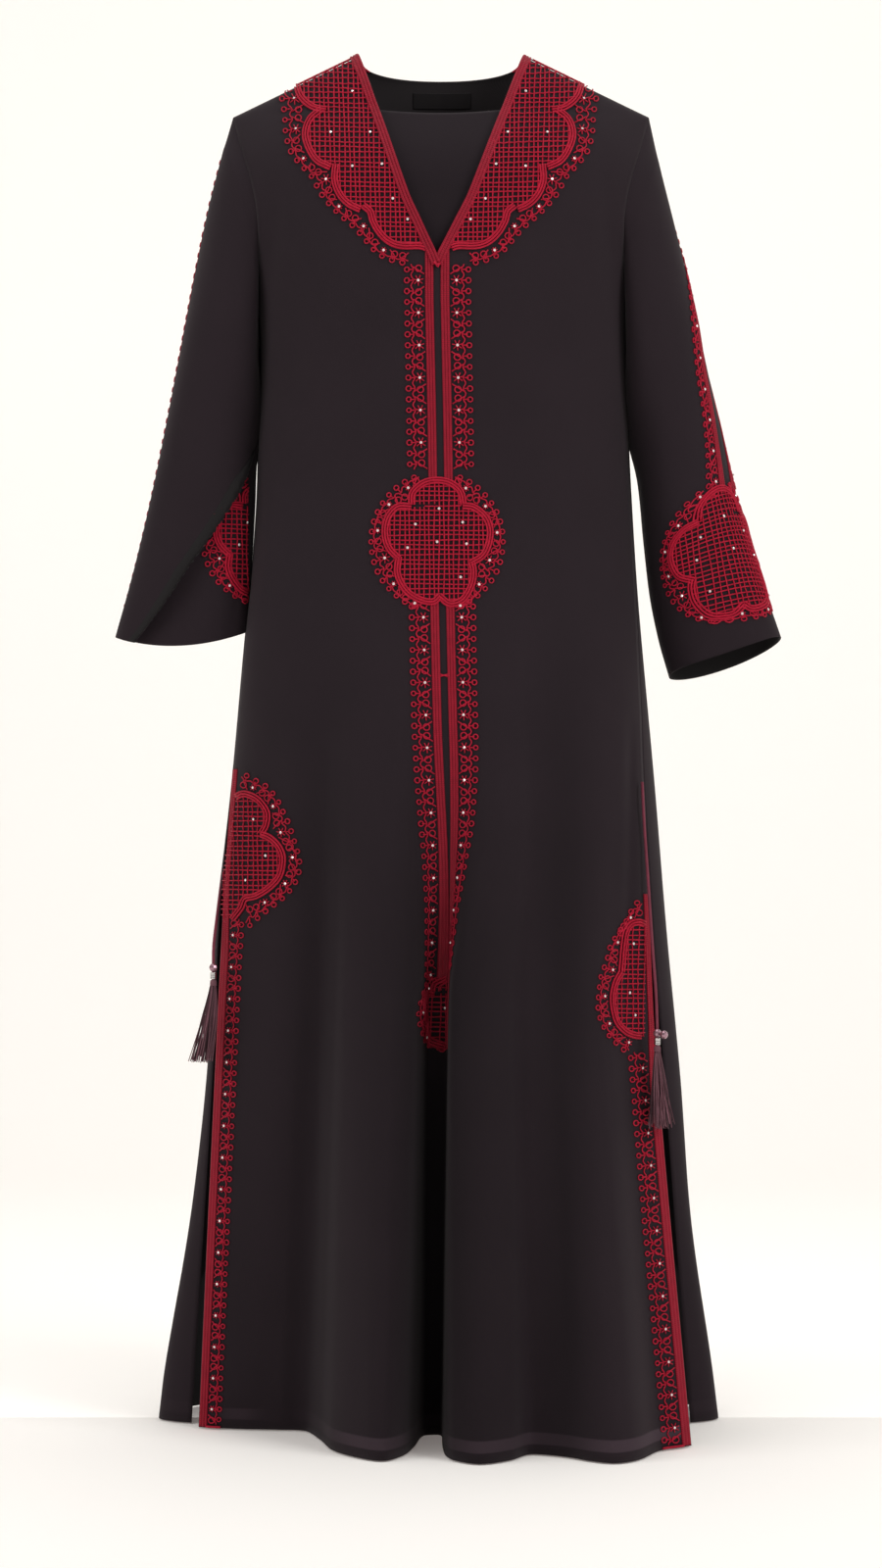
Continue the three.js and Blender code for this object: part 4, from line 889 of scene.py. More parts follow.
def edging(inner, outer, pitch=10.7, thread=0.72, gem_step=3, first_gem=1):
    """Runs and gem places of a picot edging between two lines: a ring at each step of the outer line
    on a short stem, a wavy chain below the rings, and between chain and border loops, slanting bars
    and, at every few rings, a wheel of spokes round a gem."""
    inner, outer = smooth_path(inner, 160), smooth_path(outer, 160)
    total = path_length(outer)
    share = np.linspace(0, 1, 160)

    def at(v, h):
        t = np.asarray(v, float) / total
        a = np.stack([np.interp(t, share, inner[:, k]) for k in range(2)], -1)
        b = np.stack([np.interp(t, share, outer[:, k]) for k in range(2)], -1)
        return lerp(a, b, np.asarray(h, float)[..., None])

    count = max(1, int(round(total / pitch)))
    pitch = total / count
    runs, gems = [], []
    v = np.linspace(0, total, count * 6 + 1)
    chain = at(v, 0.7 + 0.07 * np.cos(2 * np.pi * v / pitch))
    runs.append((with_height(chain, 0.9), thread, False))
    for k in range(count):
        middle = (k + 0.5) * pitch
        tip = at(middle, 1.0)
        wobble = 0.35 * math.sin(k * 2.3)
        runs.append(ring_run(tip, 2.35 + 0.2 * math.sin(k * 1.3), thread, height=1.0))
        foot = at(middle, 0.68)
        runs.append((with_height(np.stack([tip + (foot - tip) * 0.22, (tip + foot) / 2, foot]), 0.9),
                     thread, False))
        if k % gem_step == first_gem:
            hub = at(middle, 0.36)
            gap = at(middle, 0.66) - hub
            reach = max(3.2, float(np.hypot(*gap)))
            for spoke in range(7):
                turn = 2 * np.pi * (spoke + 0.3) / 7
                tip_at = hub + reach * np.array([math.cos(turn), math.sin(turn)])
                runs.append((with_height(np.stack([hub, (hub + tip_at) / 2, tip_at]), 1.0),
                             thread * 0.9, False))
            gems.append(hub)
        else:
            slant = 0.42 if (k - first_gem) % gem_step == 1 else -0.42
            low = at(middle - slant * pitch, 0.02)
            high = at(middle + slant * pitch * 0.6, 0.66)
            runs.append((with_height(np.stack([low, (low + high) / 2 + wobble, high]), 1.0), thread, False))
            runs.append(ring_run(at(middle + slant * pitch * 0.25, 0.34), 3.1, thread, 10))
    return runs, gems


GEMS = []  # world places and normals of the crystals, filled by the trims


def set_gems(surface, places, outward=1.0, height=2.2):
    if len(places):
        at, normal = lift(surface, np.array(places, float), np.full(len(places), height), outward)
        GEMS.append((at, normal))


def lace_piece(name, shape, node):
    """One object of lace without a braid."""
    return trim_piece(name, [(shape, 0)], [node], ("thread",))


def trim_piece(name, shapes, nodes, materials=("braid", "thread")):
    """One object of several shapes (mesh, material index)."""
    points, groups, corners = merged([shape for shape, _ in shapes])
    counts = [len(g) for shape, _ in shapes for g in shape[1]]
    kinds = [kind for shape, kind in shapes for _ in shape[1]]
    indices = np.repeat(kinds, counts)
    mesh = mesh_from(name, points, groups, corners, indices)
    # painted shade: the trims darken where they lie in the skirt's folds
    set_attribute(mesh, "painted_shade_and_tone", painted_shade_and_tone(points))
    return piece(name, mesh, [finish_of(m) for m in materials], "crimson_trim", *nodes)


# ------------------------------------------------------------------ patterns of the lace, in mm
# lobes of the collar's border at the left, from the shoulder to the V, as seen from the front
COLLAR_LOBES = (
    ((-148, -20), (-147, -28), (-142, -42), (-130, -52), (-117, -55)),
    ((-121, -54), (-133, -64), (-138, -78), (-135, -92), (-126, -106), (-112, -113)),
    ((-107, -110), (-108, -126), (-103, -140), (-94, -150), (-82, -156)),
    ((-79, -152), (-72, -158), (-69, -168), (-62, -180), (-52, -189), (-40, -193), (-22, -193), (-15, -195)),
)
COLLAR_OUTER = ((-167, -28), (-162, -42), (-159, -60), (-158, -78), (-153, -96), (-143, -110), (-131, -123),
                (-123, -138), (-112, -152), (-101, -163), (-87, -175), (-75, -189), (-64, -201),
                (-48, -208), (-34, -211))
COLLAR_INNER = ((-150, -30), (-138, -52), (-139, -66), (-143, -82), (-138, -100), (-126, -114),
                (-112, -120), (-110, -138), (-100, -152), (-86, -161), (-76, -170), (-68, -184),
                (-56, -195), (-42, -199), (-32, -200))
# lobes of the flower, round its middle
FLOWER_LOBES = (
    ((-26, 38), (-25, 50), (-14, 60), (0, 63), (14, 60), (24, 51), (27, 38)),
    ((-26, 36), (-40, 36), (-50, 25), (-53, 9), (-49, -6), (-39, -17)),
    ((-39, -15), (-40, -33), (-31, -50), (-17, -59), (-4, -61), (3, -55)),
    ((2, -55), (13, -63), (26, -59), (35, -44), (37, -30), (35, -20)),
    ((34, -22), (48, -12), (54, 8), (50, 24), (38, 35), (26, 37)),
)


# lobes of the half flower at the left hip, its rings, and the same at the right hip
HIP_LEFT_LOBES = (
    ((-208, -755), (-199, -752), (-186, -758), (-177, -771), (-178, -784), (-183, -793)),
    ((-183, -793), (-174, -797), (-165, -806), (-161, -818), (-164, -835), (-174, -847), (-188, -856),
     (-199, -859), (-203, -868), (-212, -880)),
)
HIP_LEFT_OUTER = ((-202, -731), (-188, -739), (-176, -746), (-166, -759), (-161, -770), (-155, -783),
                  (-150, -798), (-146, -811), (-144, -825), (-147, -839), (-154, -851), (-163, -860),
                  (-174, -868), (-189, -881), (-198, -890))
HIP_LEFT_INNER = ((-205, -748), (-193, -749), (-181, -757), (-172, -770), (-172, -785), (-165, -797),
                  (-156, -810), (-155, -822), (-160, -838), (-170, -852), (-186, -861), (-200, -862))
HIP_RIGHT_LOBES = (
    ((207, -885), (202, -883), (195, -885), (190, -892), (188, -905), (187, -919), (186, -934)),
    ((186, -934), (180, -945), (177, -959), (178, -972), (182, -985), (190, -994), (198, -998), (205, -999)),
)
HIP_RIGHT_OUTER = ((204, -860), (197, -867), (192, -879), (185, -890), (178, -901), (173, -911),
                   (171, -922), (167, -931), (163, -941), (161, -956), (160, -968), (162, -980),
                   (168, -992), (177, -1003), (186, -1010), (192, -1017))
HIP_RIGHT_INNER = ((206, -879), (196, -880), (187, -889), (183, -904), (182, -920), (181, -934),
                   (175, -943), (172, -958), (173, -973), (178, -988), (188, -999), (200, -1003))
# outer-arm trim: distance down the sleeve, place of the two braids and of the rings round it
ARM_TRIM_RIGHT = ((-6, -44, -70, -24), (-91, -20, -48, 0), (-130, -2, -34, 18), (-166, 11, -24, 32),
                  (-207, 24, -14, 44), (-258, 30, -5, 50), (-310, 38, 8, 59), (-343, 44, 20, 65))
ARM_TRIM_LEFT = ((-6, -20, -36, -4), (-120, -22, -38, -5), (-240, -24, -40, -5), (-360, -24, -40, -4),
                 (-480, -24, -40, -4))
# the flowers' middles on the cloth, and their scales across and along
WAIST_FLOWER, LOWER_FLOWER = ((-4, -495), (1, 1)), ((8, -968), (0.62, 0.55))
SLEEVE_FLOWER, TUCKED_FLOWER = ((50, -402), (1.0, 1.05)), ((-177, -494), (0.95, 0.95))
# patches of painted light in the hem's unlined band: place, half width and share
PAINTED_HEM_PATCHES = ((-205, 20, 0.5), (-68, 46, 0.95), (34, 40, 1.0), (94, 32, 0.45), (160, 44, 0.85),
               (224, 34, 1.0))
# painted shade of the folds: place, half width and share
PAINTED_FOLD_SHADES = ((-122, 34, 0.3), (122, 30, 0.36), (-205, 26, 0.15))


def painted_shade_and_tone(points):
    """Painted shade of the skirt's folds at a point of the front, 0 to 1, which darkens the base colour:
    the middle fold, whose right lip overhangs, and soft bells at the others."""
    x, z = points[:, 0], points[:, 2]
    middle = 0.85 * smooth((x + 42) / 34) * smooth((10 - x) / 5) * smooth((-850 - z) / 230)
    rest = sum(share * bump_at(x, at, half) for at, half, share in PAINTED_FOLD_SHADES)
    valley = 0.5 * bump_at(x, 0, 75) * smooth((-640 - z) / 320)
    return np.maximum(np.maximum(middle, valley), rest * smooth((-480 - z) / 400))


def mirrored(lines):
    return tuple(tuple((-x, z) for x, z in line) for line in lines)


def outline_of(lobes, corners=()):
    """Closed outline through the lobes one after another."""
    corners = np.array(corners, float).reshape(-1, 2)
    return np.concatenate([smooth_path(lobe, 16) for lobe in lobes] + [corners])


def polar_ring(lobes, grow, angles):
    """Points round the flower's outline, set out by grow from it, at given angles."""
    outline = outline_of(lobes)
    turn = np.arctan2(outline[:, 1], outline[:, 0])
    order = np.argsort(turn)
    reach = np.interp(angles, turn[order], np.hypot(*outline[order].T), period=2 * np.pi) + grow
    return np.stack([reach * np.cos(angles), reach * np.sin(angles)], -1)


FLOWER_GEMS = ((0, 0), (-22, 18), (26, 20), (-30, -6), (24, -36), (2, 34), (30, -2))


def flower(surface, middle, scale, arcs, keep=None, outward=1.0, shear=0.0, gems=FLOWER_GEMS):
    """Five-lobed flower of corded lace: its border, the lattice within and its edging along arcs of
    (from, to) degrees."""
    middle, scale = np.array(middle, float), np.array(scale, float)
    lobes = [np.array(lobe, float) * scale + middle for lobe in FLOWER_LOBES]
    runs = borders(lobes) + lattice(outline_of(lobes))
    places = [middle + np.array(g) * scale for g in gems]
    for low, high in arcs:
        angles = np.radians(np.linspace(low, high, 48))
        inner = polar_ring(FLOWER_LOBES, 4, angles) * scale + middle
        outer = np.stack([67 * np.cos(angles), 70 * np.sin(angles)], -1) * scale + middle
        more_runs, more_gems = edging(inner, outer)
        runs += more_runs
        places += more_gems
    if keep is not None:
        keep_points = lambda points: keep(points[:, 0], points[:, 1])
        runs = kept_runs(runs, keep_points)
        places = [g for g in places if keep_points(g[None])[0]]
    places = [g + (0, shear * (g[0] - middle[0])) for g in places]
    for points, _, _ in runs:
        points[:, 1] += shear * (points[:, 0] - middle[0])
    set_gems(surface, places, outward)
    return threads(surface, runs, outward=outward)


def half_flower(surface, lobes, inner, outer, corners, keep, gems):
    """Half flower at a side edge: border, lattice up to the edge's braid, and edging."""
    more_runs, more_gems = edging(inner, outer)
    runs = kept_runs(borders(lobes) + lattice(outline_of(lobes, corners)) + more_runs, keep)
    set_gems(surface, list(gems) + more_gems)
    return threads(surface, runs)


def strip(surface, braid_line, half, inner, outer, outward=1.0):
    """Braid with a picot edging beside it."""
    runs, gems = edging(inner, outer)
    set_gems(surface, gems, outward)
    return [(braid(surface, braid_line, half, outward=outward), 0),
            (threads(surface, runs, outward=outward), 1)]


# ------------------------------------------------------------------ finishes
def principled(name, colour, roughness, **sockets):
    """New material whose constants are set on the shader's own sockets."""
    material = bpy.data.materials.new(name)
    material.use_nodes = True
    shader = material.node_tree.nodes["Principled BSDF"]
    shader.inputs["Base Color"].default_value = (*colour, 1)
    shader.inputs["Roughness"].default_value = roughness
    for socket, value in sockets.items():
        shader.inputs[socket.replace("_", " ")].default_value = value
    return material, material.node_tree.nodes, material.node_tree.links, shader


def node(nodes, kind, **settings):
    made = nodes.new("ShaderNode" + kind)
    for key, value in settings.items():
        if key in made.inputs:
            made.inputs[key].default_value = value
        else:
            setattr(made, key, value)
    return made


def texture(nodes, links, kind, **settings):
    """Factor of a texture laid in the object's own places."""
    made = node(nodes, kind, **settings)
    links.new(node(nodes, "TexCoord").outputs["Object"], made.inputs["Vector"])
    return made.outputs["Fac"]


def worked(nodes, links, operation, *values):
    """Result of a maths node of constants and sockets."""
    made = node(nodes, "Math", operation=operation)
    for socket, value in zip(made.inputs, values):
        if isinstance(value, (int, float)):
            socket.default_value = value
        else:
            links.new(value, socket)
    return made.outputs[0]


def tinted(nodes, links, factor, low, high, shader):
    """Base colour between low and high by a factor."""
    mix = node(nodes, "Mix", data_type="RGBA")
    mix.inputs["A"].default_value = (*low, 1)
    mix.inputs["B"].default_value = (*high, 1)
    links.new(factor, mix.inputs["Factor"])
    links.new(mix.outputs["Result"], shader.inputs["Base Color"])
    return mix.outputs["Result"]


def bumped(nodes, links, heights, shader, strength, distance):
    bump = node(nodes, "Bump")
    bump.inputs["Strength"].default_value = strength
    bump.inputs["Distance"].default_value = distance
    links.new(heights, bump.inputs["Height"])
    links.new(bump.outputs["Normal"], shader.inputs["Normal"])


DARKEST = 0.85  # how much of the colour the deepest painted shade, and the darkest tassel strand, takes away


def darkened(nodes, links, shader):
    """Base colour darkened by painted fold shade and the strands' own darkness: colour times (1 - share)."""
    source = shader.inputs["Base Color"].links[0].from_socket
    darkening = node(nodes, "Attribute", attribute_name="painted_shade_and_tone").outputs["Fac"]
    mix = node(nodes, "VectorMath", operation="SCALE")
    links.new(source, mix.inputs[0])
    links.new(worked(nodes, links, "MULTIPLY_ADD", darkening, -DARKEST, 1.0), mix.inputs["Scale"])
    links.new(mix.outputs[0], shader.inputs["Base Color"])


def shade(colour, factor):
    return tuple(c * factor for c in colour)


# the unlined band: height above the hem in metres and how much painted light brightens its colour there
SHEER_BAND_PAINTED_LIGHT = ((0.0, 0.05), (0.0094, 0.05), (0.0104, 1.0), (0.0205, 1.0), (0.0222, 0.0))
RAMP_HEIGHT = 0.05


def crepe_finish(name, colour, sheer=False):
    """Black crepe: pebbled fine bump, faint cloudiness, a soft sheen, painted shade in the skirt's folds,
    and the unlined band above the hem, brightened in patches as painted light shining through it."""
    material, nodes, links, shader = principled(
        name, colour, 0.86, Sheen_Weight=0.06, Sheen_Roughness=0.5)
    shader.inputs["Sheen Tint"].default_value = (0.75, 0.68, 0.7, 1)
    shader.inputs["Specular IOR Level"].default_value = 0.1
    pebble = texture(nodes, links, "TexNoise", Scale=900, Detail=3)
    cloud = texture(nodes, links, "TexNoise", Scale=14, Detail=4)
    plain = tinted(nodes, links, cloud, shade(colour, 0.9), shade(colour, 1.12), shader)
    bumped(nodes, links, pebble, shader, 0.25, 0.0005)
    if sheer:
        above = node(nodes, "Attribute", attribute_name="above_hem")
        ramp = node(nodes, "ValToRGB")
        links.new(worked(nodes, links, "MULTIPLY", above.outputs["Fac"], 1 / RAMP_HEIGHT), ramp.inputs["Fac"])
        while len(ramp.color_ramp.elements) < len(SHEER_BAND_PAINTED_LIGHT):
            ramp.color_ramp.elements.new(0.5)
        for element, (at, value) in zip(ramp.color_ramp.elements, SHEER_BAND_PAINTED_LIGHT):
            element.position = at / RAMP_HEIGHT
            element.color = (value, value, value, 1)
        patch = node(nodes, "Attribute", attribute_name="painted_light_through")
        both = worked(nodes, links, "MULTIPLY", ramp.outputs["Color"], patch.outputs["Fac"])
        mix = node(nodes, "Mix", data_type="RGBA")
        links.new(both, mix.inputs["Factor"])
        links.new(plain, mix.inputs["A"])
        # painted light: the band's colour raised 2.7 times where light would shine through it
        mix.inputs["B"].default_value = (*shade(colour, 2.7), 1)
        links.new(mix.outputs["Result"], shader.inputs["Base Color"])
    darkened(nodes, links, shader)
    return material


def lining_finish(name, colour):
    """Smooth lining: a fine twill bump and a satin gloss."""
    material, nodes, links, shader = principled(name, colour, 0.7, Sheen_Weight=0.03)
    shader.inputs["Specular IOR Level"].default_value = 0.15
    wave = texture(nodes, links, "TexWave", bands_direction="DIAGONAL", Scale=500, Distortion=1.5)
    bumped(nodes, links, wave, shader, 0.12, 0.0003)
    tinted(nodes, links, wave, shade(colour, 0.9), shade(colour, 1.1), shader)
    return material


def thread_finish(name, colour, twist=900, shine=0.05):
    """Twisted thread: fine slanting ridges with painted shade between them, mottled at random, and a silky
    sheen.
    """
    material, nodes, links, shader = principled(
        name, colour, 0.6, Sheen_Weight=shine, Sheen_Roughness=0.4)
    shader.inputs["Specular IOR Level"].default_value = 0.2
    shader.inputs["Sheen Tint"].default_value = (*[min(1, c * 2.2 + 0.2) for c in colour], 1)
    wave = texture(nodes, links, "TexWave", bands_direction="DIAGONAL", Scale=twist, Distortion=2)
    noise = texture(nodes, links, "TexNoise", Scale=130, Detail=3)
    both = worked(nodes, links, "MULTIPLY", wave, noise)
    tinted(nodes, links, both, shade(colour, 0.62), shade(colour, 1.5), shader)
    bumped(nodes, links, wave, shader, 0.5, 0.0004)
    # darkened by painted fold shade on the lace, and by the strands' own darkness on the tassels
    darkened(nodes, links, shader)
    return material


STITCH_WIDTH, STITCH_LENGTH = 0.0014, 0.0021  # of the braid's slanting stitches, in metres


def braid_finish(name, colour):
    """Flat braid: rows of slanting stitches that meet in chevrons along the strip's own texture
    places, with painted shade between the stitches."""
    material, nodes, links, shader = principled(
        name, colour, 0.6, Sheen_Weight=0.05, Sheen_Roughness=0.4)
    shader.inputs["Specular IOR Level"].default_value = 0.2
    shader.inputs["Sheen Tint"].default_value = (0.9, 0.3, 0.4, 1)
    parts = node(nodes, "SeparateXYZ")
    links.new(node(nodes, "UVMap").outputs["UV"], parts.inputs["Vector"])
    slant = worked(nodes, links, "PINGPONG", parts.outputs["X"], STITCH_WIDTH)
    rise = worked(nodes, links, "MULTIPLY", slant, 0.9)
    run = worked(nodes, links, "ADD", parts.outputs["Y"], rise)
    turns = worked(nodes, links, "MULTIPLY", run, 2 * math.pi / STITCH_LENGTH)
    level = worked(nodes, links, "MULTIPLY_ADD", worked(nodes, links, "SINE", turns), 0.5, 0.5)
    both = worked(nodes, links, "MULTIPLY", level, texture(nodes, links, "TexNoise", Scale=160))
    tinted(nodes, links, both, shade(colour, 0.7), shade(colour, 1.6), shader)
    bumped(nodes, links, level, shader, 0.6, 0.0005)
    # painted shade where the braid lies in the skirt's folds
    darkened(nodes, links, shader)
    return material


def gem_finish(name):
    """Clear cut crystal: bright, glossy, a faint pink."""
    material, nodes, links, shader = principled(name, (0.95, 0.88, 0.87), 0.08, Metallic=0.35)
    shader.inputs["Coat Weight"].default_value = 0.6
    noise = texture(nodes, links, "TexNoise", Scale=700)
    tinted(nodes, links, noise, (0.8, 0.7, 0.7), (1.0, 0.97, 0.95), shader)
    return material


def metal_finish(name, colour, roughness, metallic):
    material, nodes, links, shader = principled(name, colour, roughness, Metallic=metallic)
    noise = texture(nodes, links, "TexNoise", Scale=420)
    tinted(nodes, links, noise, shade(colour, 0.8), shade(colour, 1.15), shader)
    bumped(nodes, links, noise, shader, 0.1, 0.0002)
    return material


FINISHES = {}


def finish_of(name):
    """The finish of that name, made when it is first asked for."""
    if name not in FINISHES:
        cloth, trim = bpy.context.scene.kaftan_cloth, bpy.context.scene.kaftan_trim
        makers = {
            "crepe": lambda: crepe_finish("black_crepe", cloth.colour, sheer=True),
            "insert": lambda: crepe_finish("insert_crepe", shade(cloth.colour, 0.78)),
            "lining": lambda: lining_finish("black_lining", cloth.lining_colour),
            # the facing is the lining brightened 3.2 times: painted light on the shaded inside of the back
            # neck
            "facing": lambda: lining_finish("neck_facing", shade(cloth.lining_colour, 3.2)),
            "label": lambda: lining_finish("woven_label", shade(cloth.lining_colour, 1.9)),
            "thread": lambda: thread_finish("crimson_thread", shade(trim.colour, 1.8)),
            "braid": lambda: braid_finish("crimson_braid", trim.colour),
            "gem": lambda: gem_finish("crystal"),
            "mauve": lambda: thread_finish("mauve_silk", trim.cord_colour, 700, 0.15),
            "cord": lambda: thread_finish("mauve_cord", trim.side_cord_colour, 420, 0.1),
            "bead": lambda: metal_finish("mauve_bead", trim.bead_colour, 0.22, 0.75),
            "silver": lambda: metal_finish("silver_collet", (0.62, 0.59, 0.58), 0.25, 1.0),
        }
        FINISHES[name] = makers[name]()
    return FINISHES[name]


# ------------------------------------------------------------------ settings
class KaftanCloth(bpy.types.PropertyGroup):
    """Cloth of the robe and its lining."""
    colour: FloatVectorProperty(
        name="Crepe colour", description="Colour of the outer cloth", subtype="COLOR",
        default=(0.0175, 0.0117, 0.0148), min=0, max=1)
    lining_colour: FloatVectorProperty(
        name="Lining colour", description="Colour of the lining and facing", subtype="COLOR",
        default=(0.009, 0.0075, 0.008), min=0, max=1)
    thickness: FloatProperty(
        name="Thickness", description="Thickness of the lined cloth", subtype="DISTANCE",
        unit="LENGTH", default=0.0009, min=0.0003, max=0.002)


class KaftanTrim(bpy.types.PropertyGroup):
    """Lace, braid, cords and beads."""
    colour: FloatVectorProperty(
        name="Trim colour", description="Colour of the lace and braid", subtype="COLOR",
        default=(0.28, 0.0035, 0.019), min=0, max=1)
    cord_colour: FloatVectorProperty(
        name="Tassel colour", description="Colour of the tassels' silk", subtype="COLOR",
        default=(0.27, 0.115, 0.145), min=0, max=1)
    side_cord_colour: FloatVectorProperty(
        name="Cord colour", description="Colour of the side cords", subtype="COLOR",
        default=(0.2, 0.035, 0.06), min=0, max=1)
    bead_colour: FloatVectorProperty(
        name="Bead colour", description="Colour of the faceted beads", subtype="COLOR",
        default=(0.35, 0.2, 0.24), min=0, max=1)
    strands: IntProperty(
        name="Strands", description="Strands of one tassel", default=70, min=20, max=400)


class KaftanStage(bpy.types.PropertyGroup):
    """Camera, floor and light."""
    lens: FloatProperty(
        name="Lens", description="Focal length of the camera", subtype="DISTANCE_CAMERA",
        unit="CAMERA", default=81, min=20, max=200)
    distance: FloatProperty(
        name="Distance", description="Distance of the camera from the robe", subtype="DISTANCE",
        unit="LENGTH", default=3.6, min=1, max=10)
    key_power: FloatProperty(
        name="Key light", description="Power of the main light", subtype="POWER", unit="POWER",
        default=62, min=0, max=1000)


# ------------------------------------------------------------------ operators
class KAFTAN_OT_camera(bpy.types.Operator):
    """Level camera in front of the robe, at half its height"""
    bl_idname = "kaftan.camera"
    bl_label = "Camera"

    def execute(self, context):
        stage = context.scene.kaftan_stage
        data = bpy.data.cameras.new("camera")
        data.lens = stage.lens
        data.sensor_width = 36
        camera = bpy.data.objects.new("camera", data)
        context.scene.collection.objects.link(camera)
        camera.location = (0, -stage.distance, EYE_Z * MM)
        camera.rotation_euler = (math.radians(90), 0, 0)
        data.clip_end = 60
        context.scene.camera = camera
        return {"FINISHED"}


class KAFTAN_OT_cords(bpy.types.Operator):
    """Two side cords that hang from the tops of the slits, with beads, collets and tassels"""
    bl_idname = "kaftan.cords"
    bl_label = "Cords and tassels"

    def execute(self, context):
        strands = context.scene.kaftan_trim.strands
        for side, route, lean in (("left", CORD_LEFT, -12.0), ("right", CORD_RIGHT, 4.0)):
            end = route[-1]
            tail = [end + (0, 0, -8), end + (0, 0, -22), end + (0.12 * lean, 0, -INNER_TAIL)]
            path = smooth_path(np.concatenate([route, tail]), 36)
            points, groups, corners = tube(path, CORD_RADIUS, 12)
            cord = piece(f"side_cord_{side}", mesh_from(f"side_cord_{side}", points, groups, corners),
                         [finish_of("cord")], "mauve_thread", f"cord_{side}")
            bead_z = end[2] - GAP - BEAD_RADIUS
            collet_z = bead_z - BEAD_RADIUS - GAP - COLLET_LENGTH / 2
            top = np.array([end[0], end[1], collet_z - COLLET_LENGTH / 2 - GAP])
            parts = [
                bead_piece(f"faceted_bead_{side}", (end[0], end[1], bead_z), f"bead_{side}"),
                collet_piece(f"silver_collet_{side}", (end[0], end[1], collet_z), f"collet_{side}"),
                tassel_piece(f"silk_tassel_{side}", top, lean, strands, f"tassel_{side}"),
            ]
            if side == "right":
                second = (end[0] + 6, end[1] - 7, bead_z - 1)
                parts.append(bead_piece("faceted_bead_second", second, "bead_right_second"))
        return {"FINISHED"}


def bead_piece(name, centre, replaced):
    """Faceted ball: nine-sided rings at five heights, flat shaded."""
    heights = np.radians(np.array([90, 62, 30, 0, -30, -62, -90]))
    profile = np.stack([np.cos(heights), np.sin(heights)], -1) * BEAD_RADIUS
    points, quads, tris = lathe(profile, centre, 9)
    mesh = mesh_from(name, points, [quads, tris])
    mesh.polygons.foreach_set("use_smooth", np.zeros(len(mesh.polygons), bool))
    return piece(name, mesh, [finish_of("bead")], "mauve_bead", replaced)


def collet_piece(name, centre, replaced):
    """Silver sleeve with rolled rims and two grooves round it."""
    r, h = COLLET_RADIUS, COLLET_LENGTH / 2
    profile = [(0, h), (r * 0.7, h), (r * 0.98, h - 0.2), (r, h - 0.8), (r * 0.93, h - 1.4),
               (r, h - 2.2), (r * 0.9, h - 3), (r, 0), (r * 0.9, 3 - h), (r, 2.2 - h),
               (r * 0.93, 1.4 - h), (r, 0.8 - h), (r * 0.98, 0.2 - h), (r * 0.7, -h), (0, -h)]
    points, quads, tris = lathe(profile, centre, 24)
    return piece(name, mesh_from(name, points, [quads, tris]), [finish_of("silver")],
                 "silver_collet", replaced)


def joined(parts):
    """Tubes with the same number of sides put together, with their corners in the faces' order."""
    points, quads, ends, corners, caps = [], [], [], [], []
    start = 0
    for p, (q, e), c in parts:
        points.append(p)
        quads.append(q + start)
        ends.append(e + start)
        corners.append(c[:len(q) * 4])
        caps.append(c[len(q) * 4:])
        start += len(p)
    faces = [np.concatenate(quads), np.concatenate(ends)]
    return np.concatenate(points), faces, np.concatenate(corners + caps)


def merged(parts):
    """Meshes of (points, face groups, corners or None) put together."""
    points, groups, corners, start = [], [], [], 0
    for p, faces, c in parts:
        count = sum(g.size for g in faces)
        points.append(p)
        groups += [g + start for g in faces]
        corners.append(np.zeros((count, 2)) if c is None else c)
        start += len(p)
    return np.concatenate(points), groups, np.concatenate(corners)


GOLDEN_ANGLE = 2.39996


def tassel_piece(name, top, lean, strands, replaced):
    """Bound head, and strands laid on a sunflower pattern that spread and sway towards their tips."""
    rng = np.random.default_rng(7 if lean < 0 else 11)
    wrap_turns = np.linspace(0, 2 * np.pi * 5, 120)
    wrap_z = -1.0 - (HEAD_LENGTH - 8.0) * wrap_turns / wrap_turns[-1]
    wrap_r = np.interp(-wrap_z, [0, 3, 7, 13], [2.3, 2.9, 3.0, 2.9])
    wrap = top + np.stack([wrap_r * np.cos(wrap_turns), wrap_r * np.sin(wrap_turns), wrap_z], -1)
    parts, tones = [], []
    t = np.linspace(0, 1, 8)
    for k in range(strands):
        turn, share = k * GOLDEN_ANGLE, math.sqrt((k + 0.5) / strands)
        radius = lerp(2.2, 13.6, t ** 0.95) * share * rng.uniform(0.8, 1.08)
        end = TASSEL_LENGTH * rng.uniform(0.9, 1.0)
        sway = rng.normal(0, 1.5, 2)[:, None] * np.sin(np.pi * 1.5 * t) * t
        x = radius * math.cos(turn) + lean * t ** 1.4 + sway[0]
        y = radius * math.sin(turn) * 0.85 + sway[1]
        z = lerp(-2.0, -end, t)
        line = top + np.stack([x, y, z], -1)
        parts.append(tube(line, lerp(0.6, 0.5, t), 4, turn=turn))
        tones.append(np.full(len(line) * 4, clamp(rng.normal(0.5, 0.42))))
    head = [(0, 0), (1.9, -0.2), (2.4, -2.0), (2.5, -5), (2.3, -9), (0, -10)]
    head_points, quads, tris = lathe(head, top, 16)
    points, groups, corners = merged([joined(parts), tube(wrap, 0.6, 6), (head_points, [quads, tris], None)])
    mesh = mesh_from(name, points, groups, corners)
    darkening = np.concatenate(tones)
    rest = np.full(len(points) - len(darkening), 0.3)
    set_attribute(mesh, "painted_shade_and_tone", np.concatenate([darkening, rest]))
    return piece(name, mesh, [finish_of("mauve")], "mauve_thread", replaced)


FRONT_ROWS, BACK_ROWS, BACK_COLUMNS = 196, 180, 160
SLEEVE_ROWS, SLEEVE_COLUMNS = 128, 151
SLEEVE_GIRTH = 400.0  # round the sleeve in the flat cloth
PAST_BAND = 60.0  # added to the height above a sleeve's hem, which has no sheer band


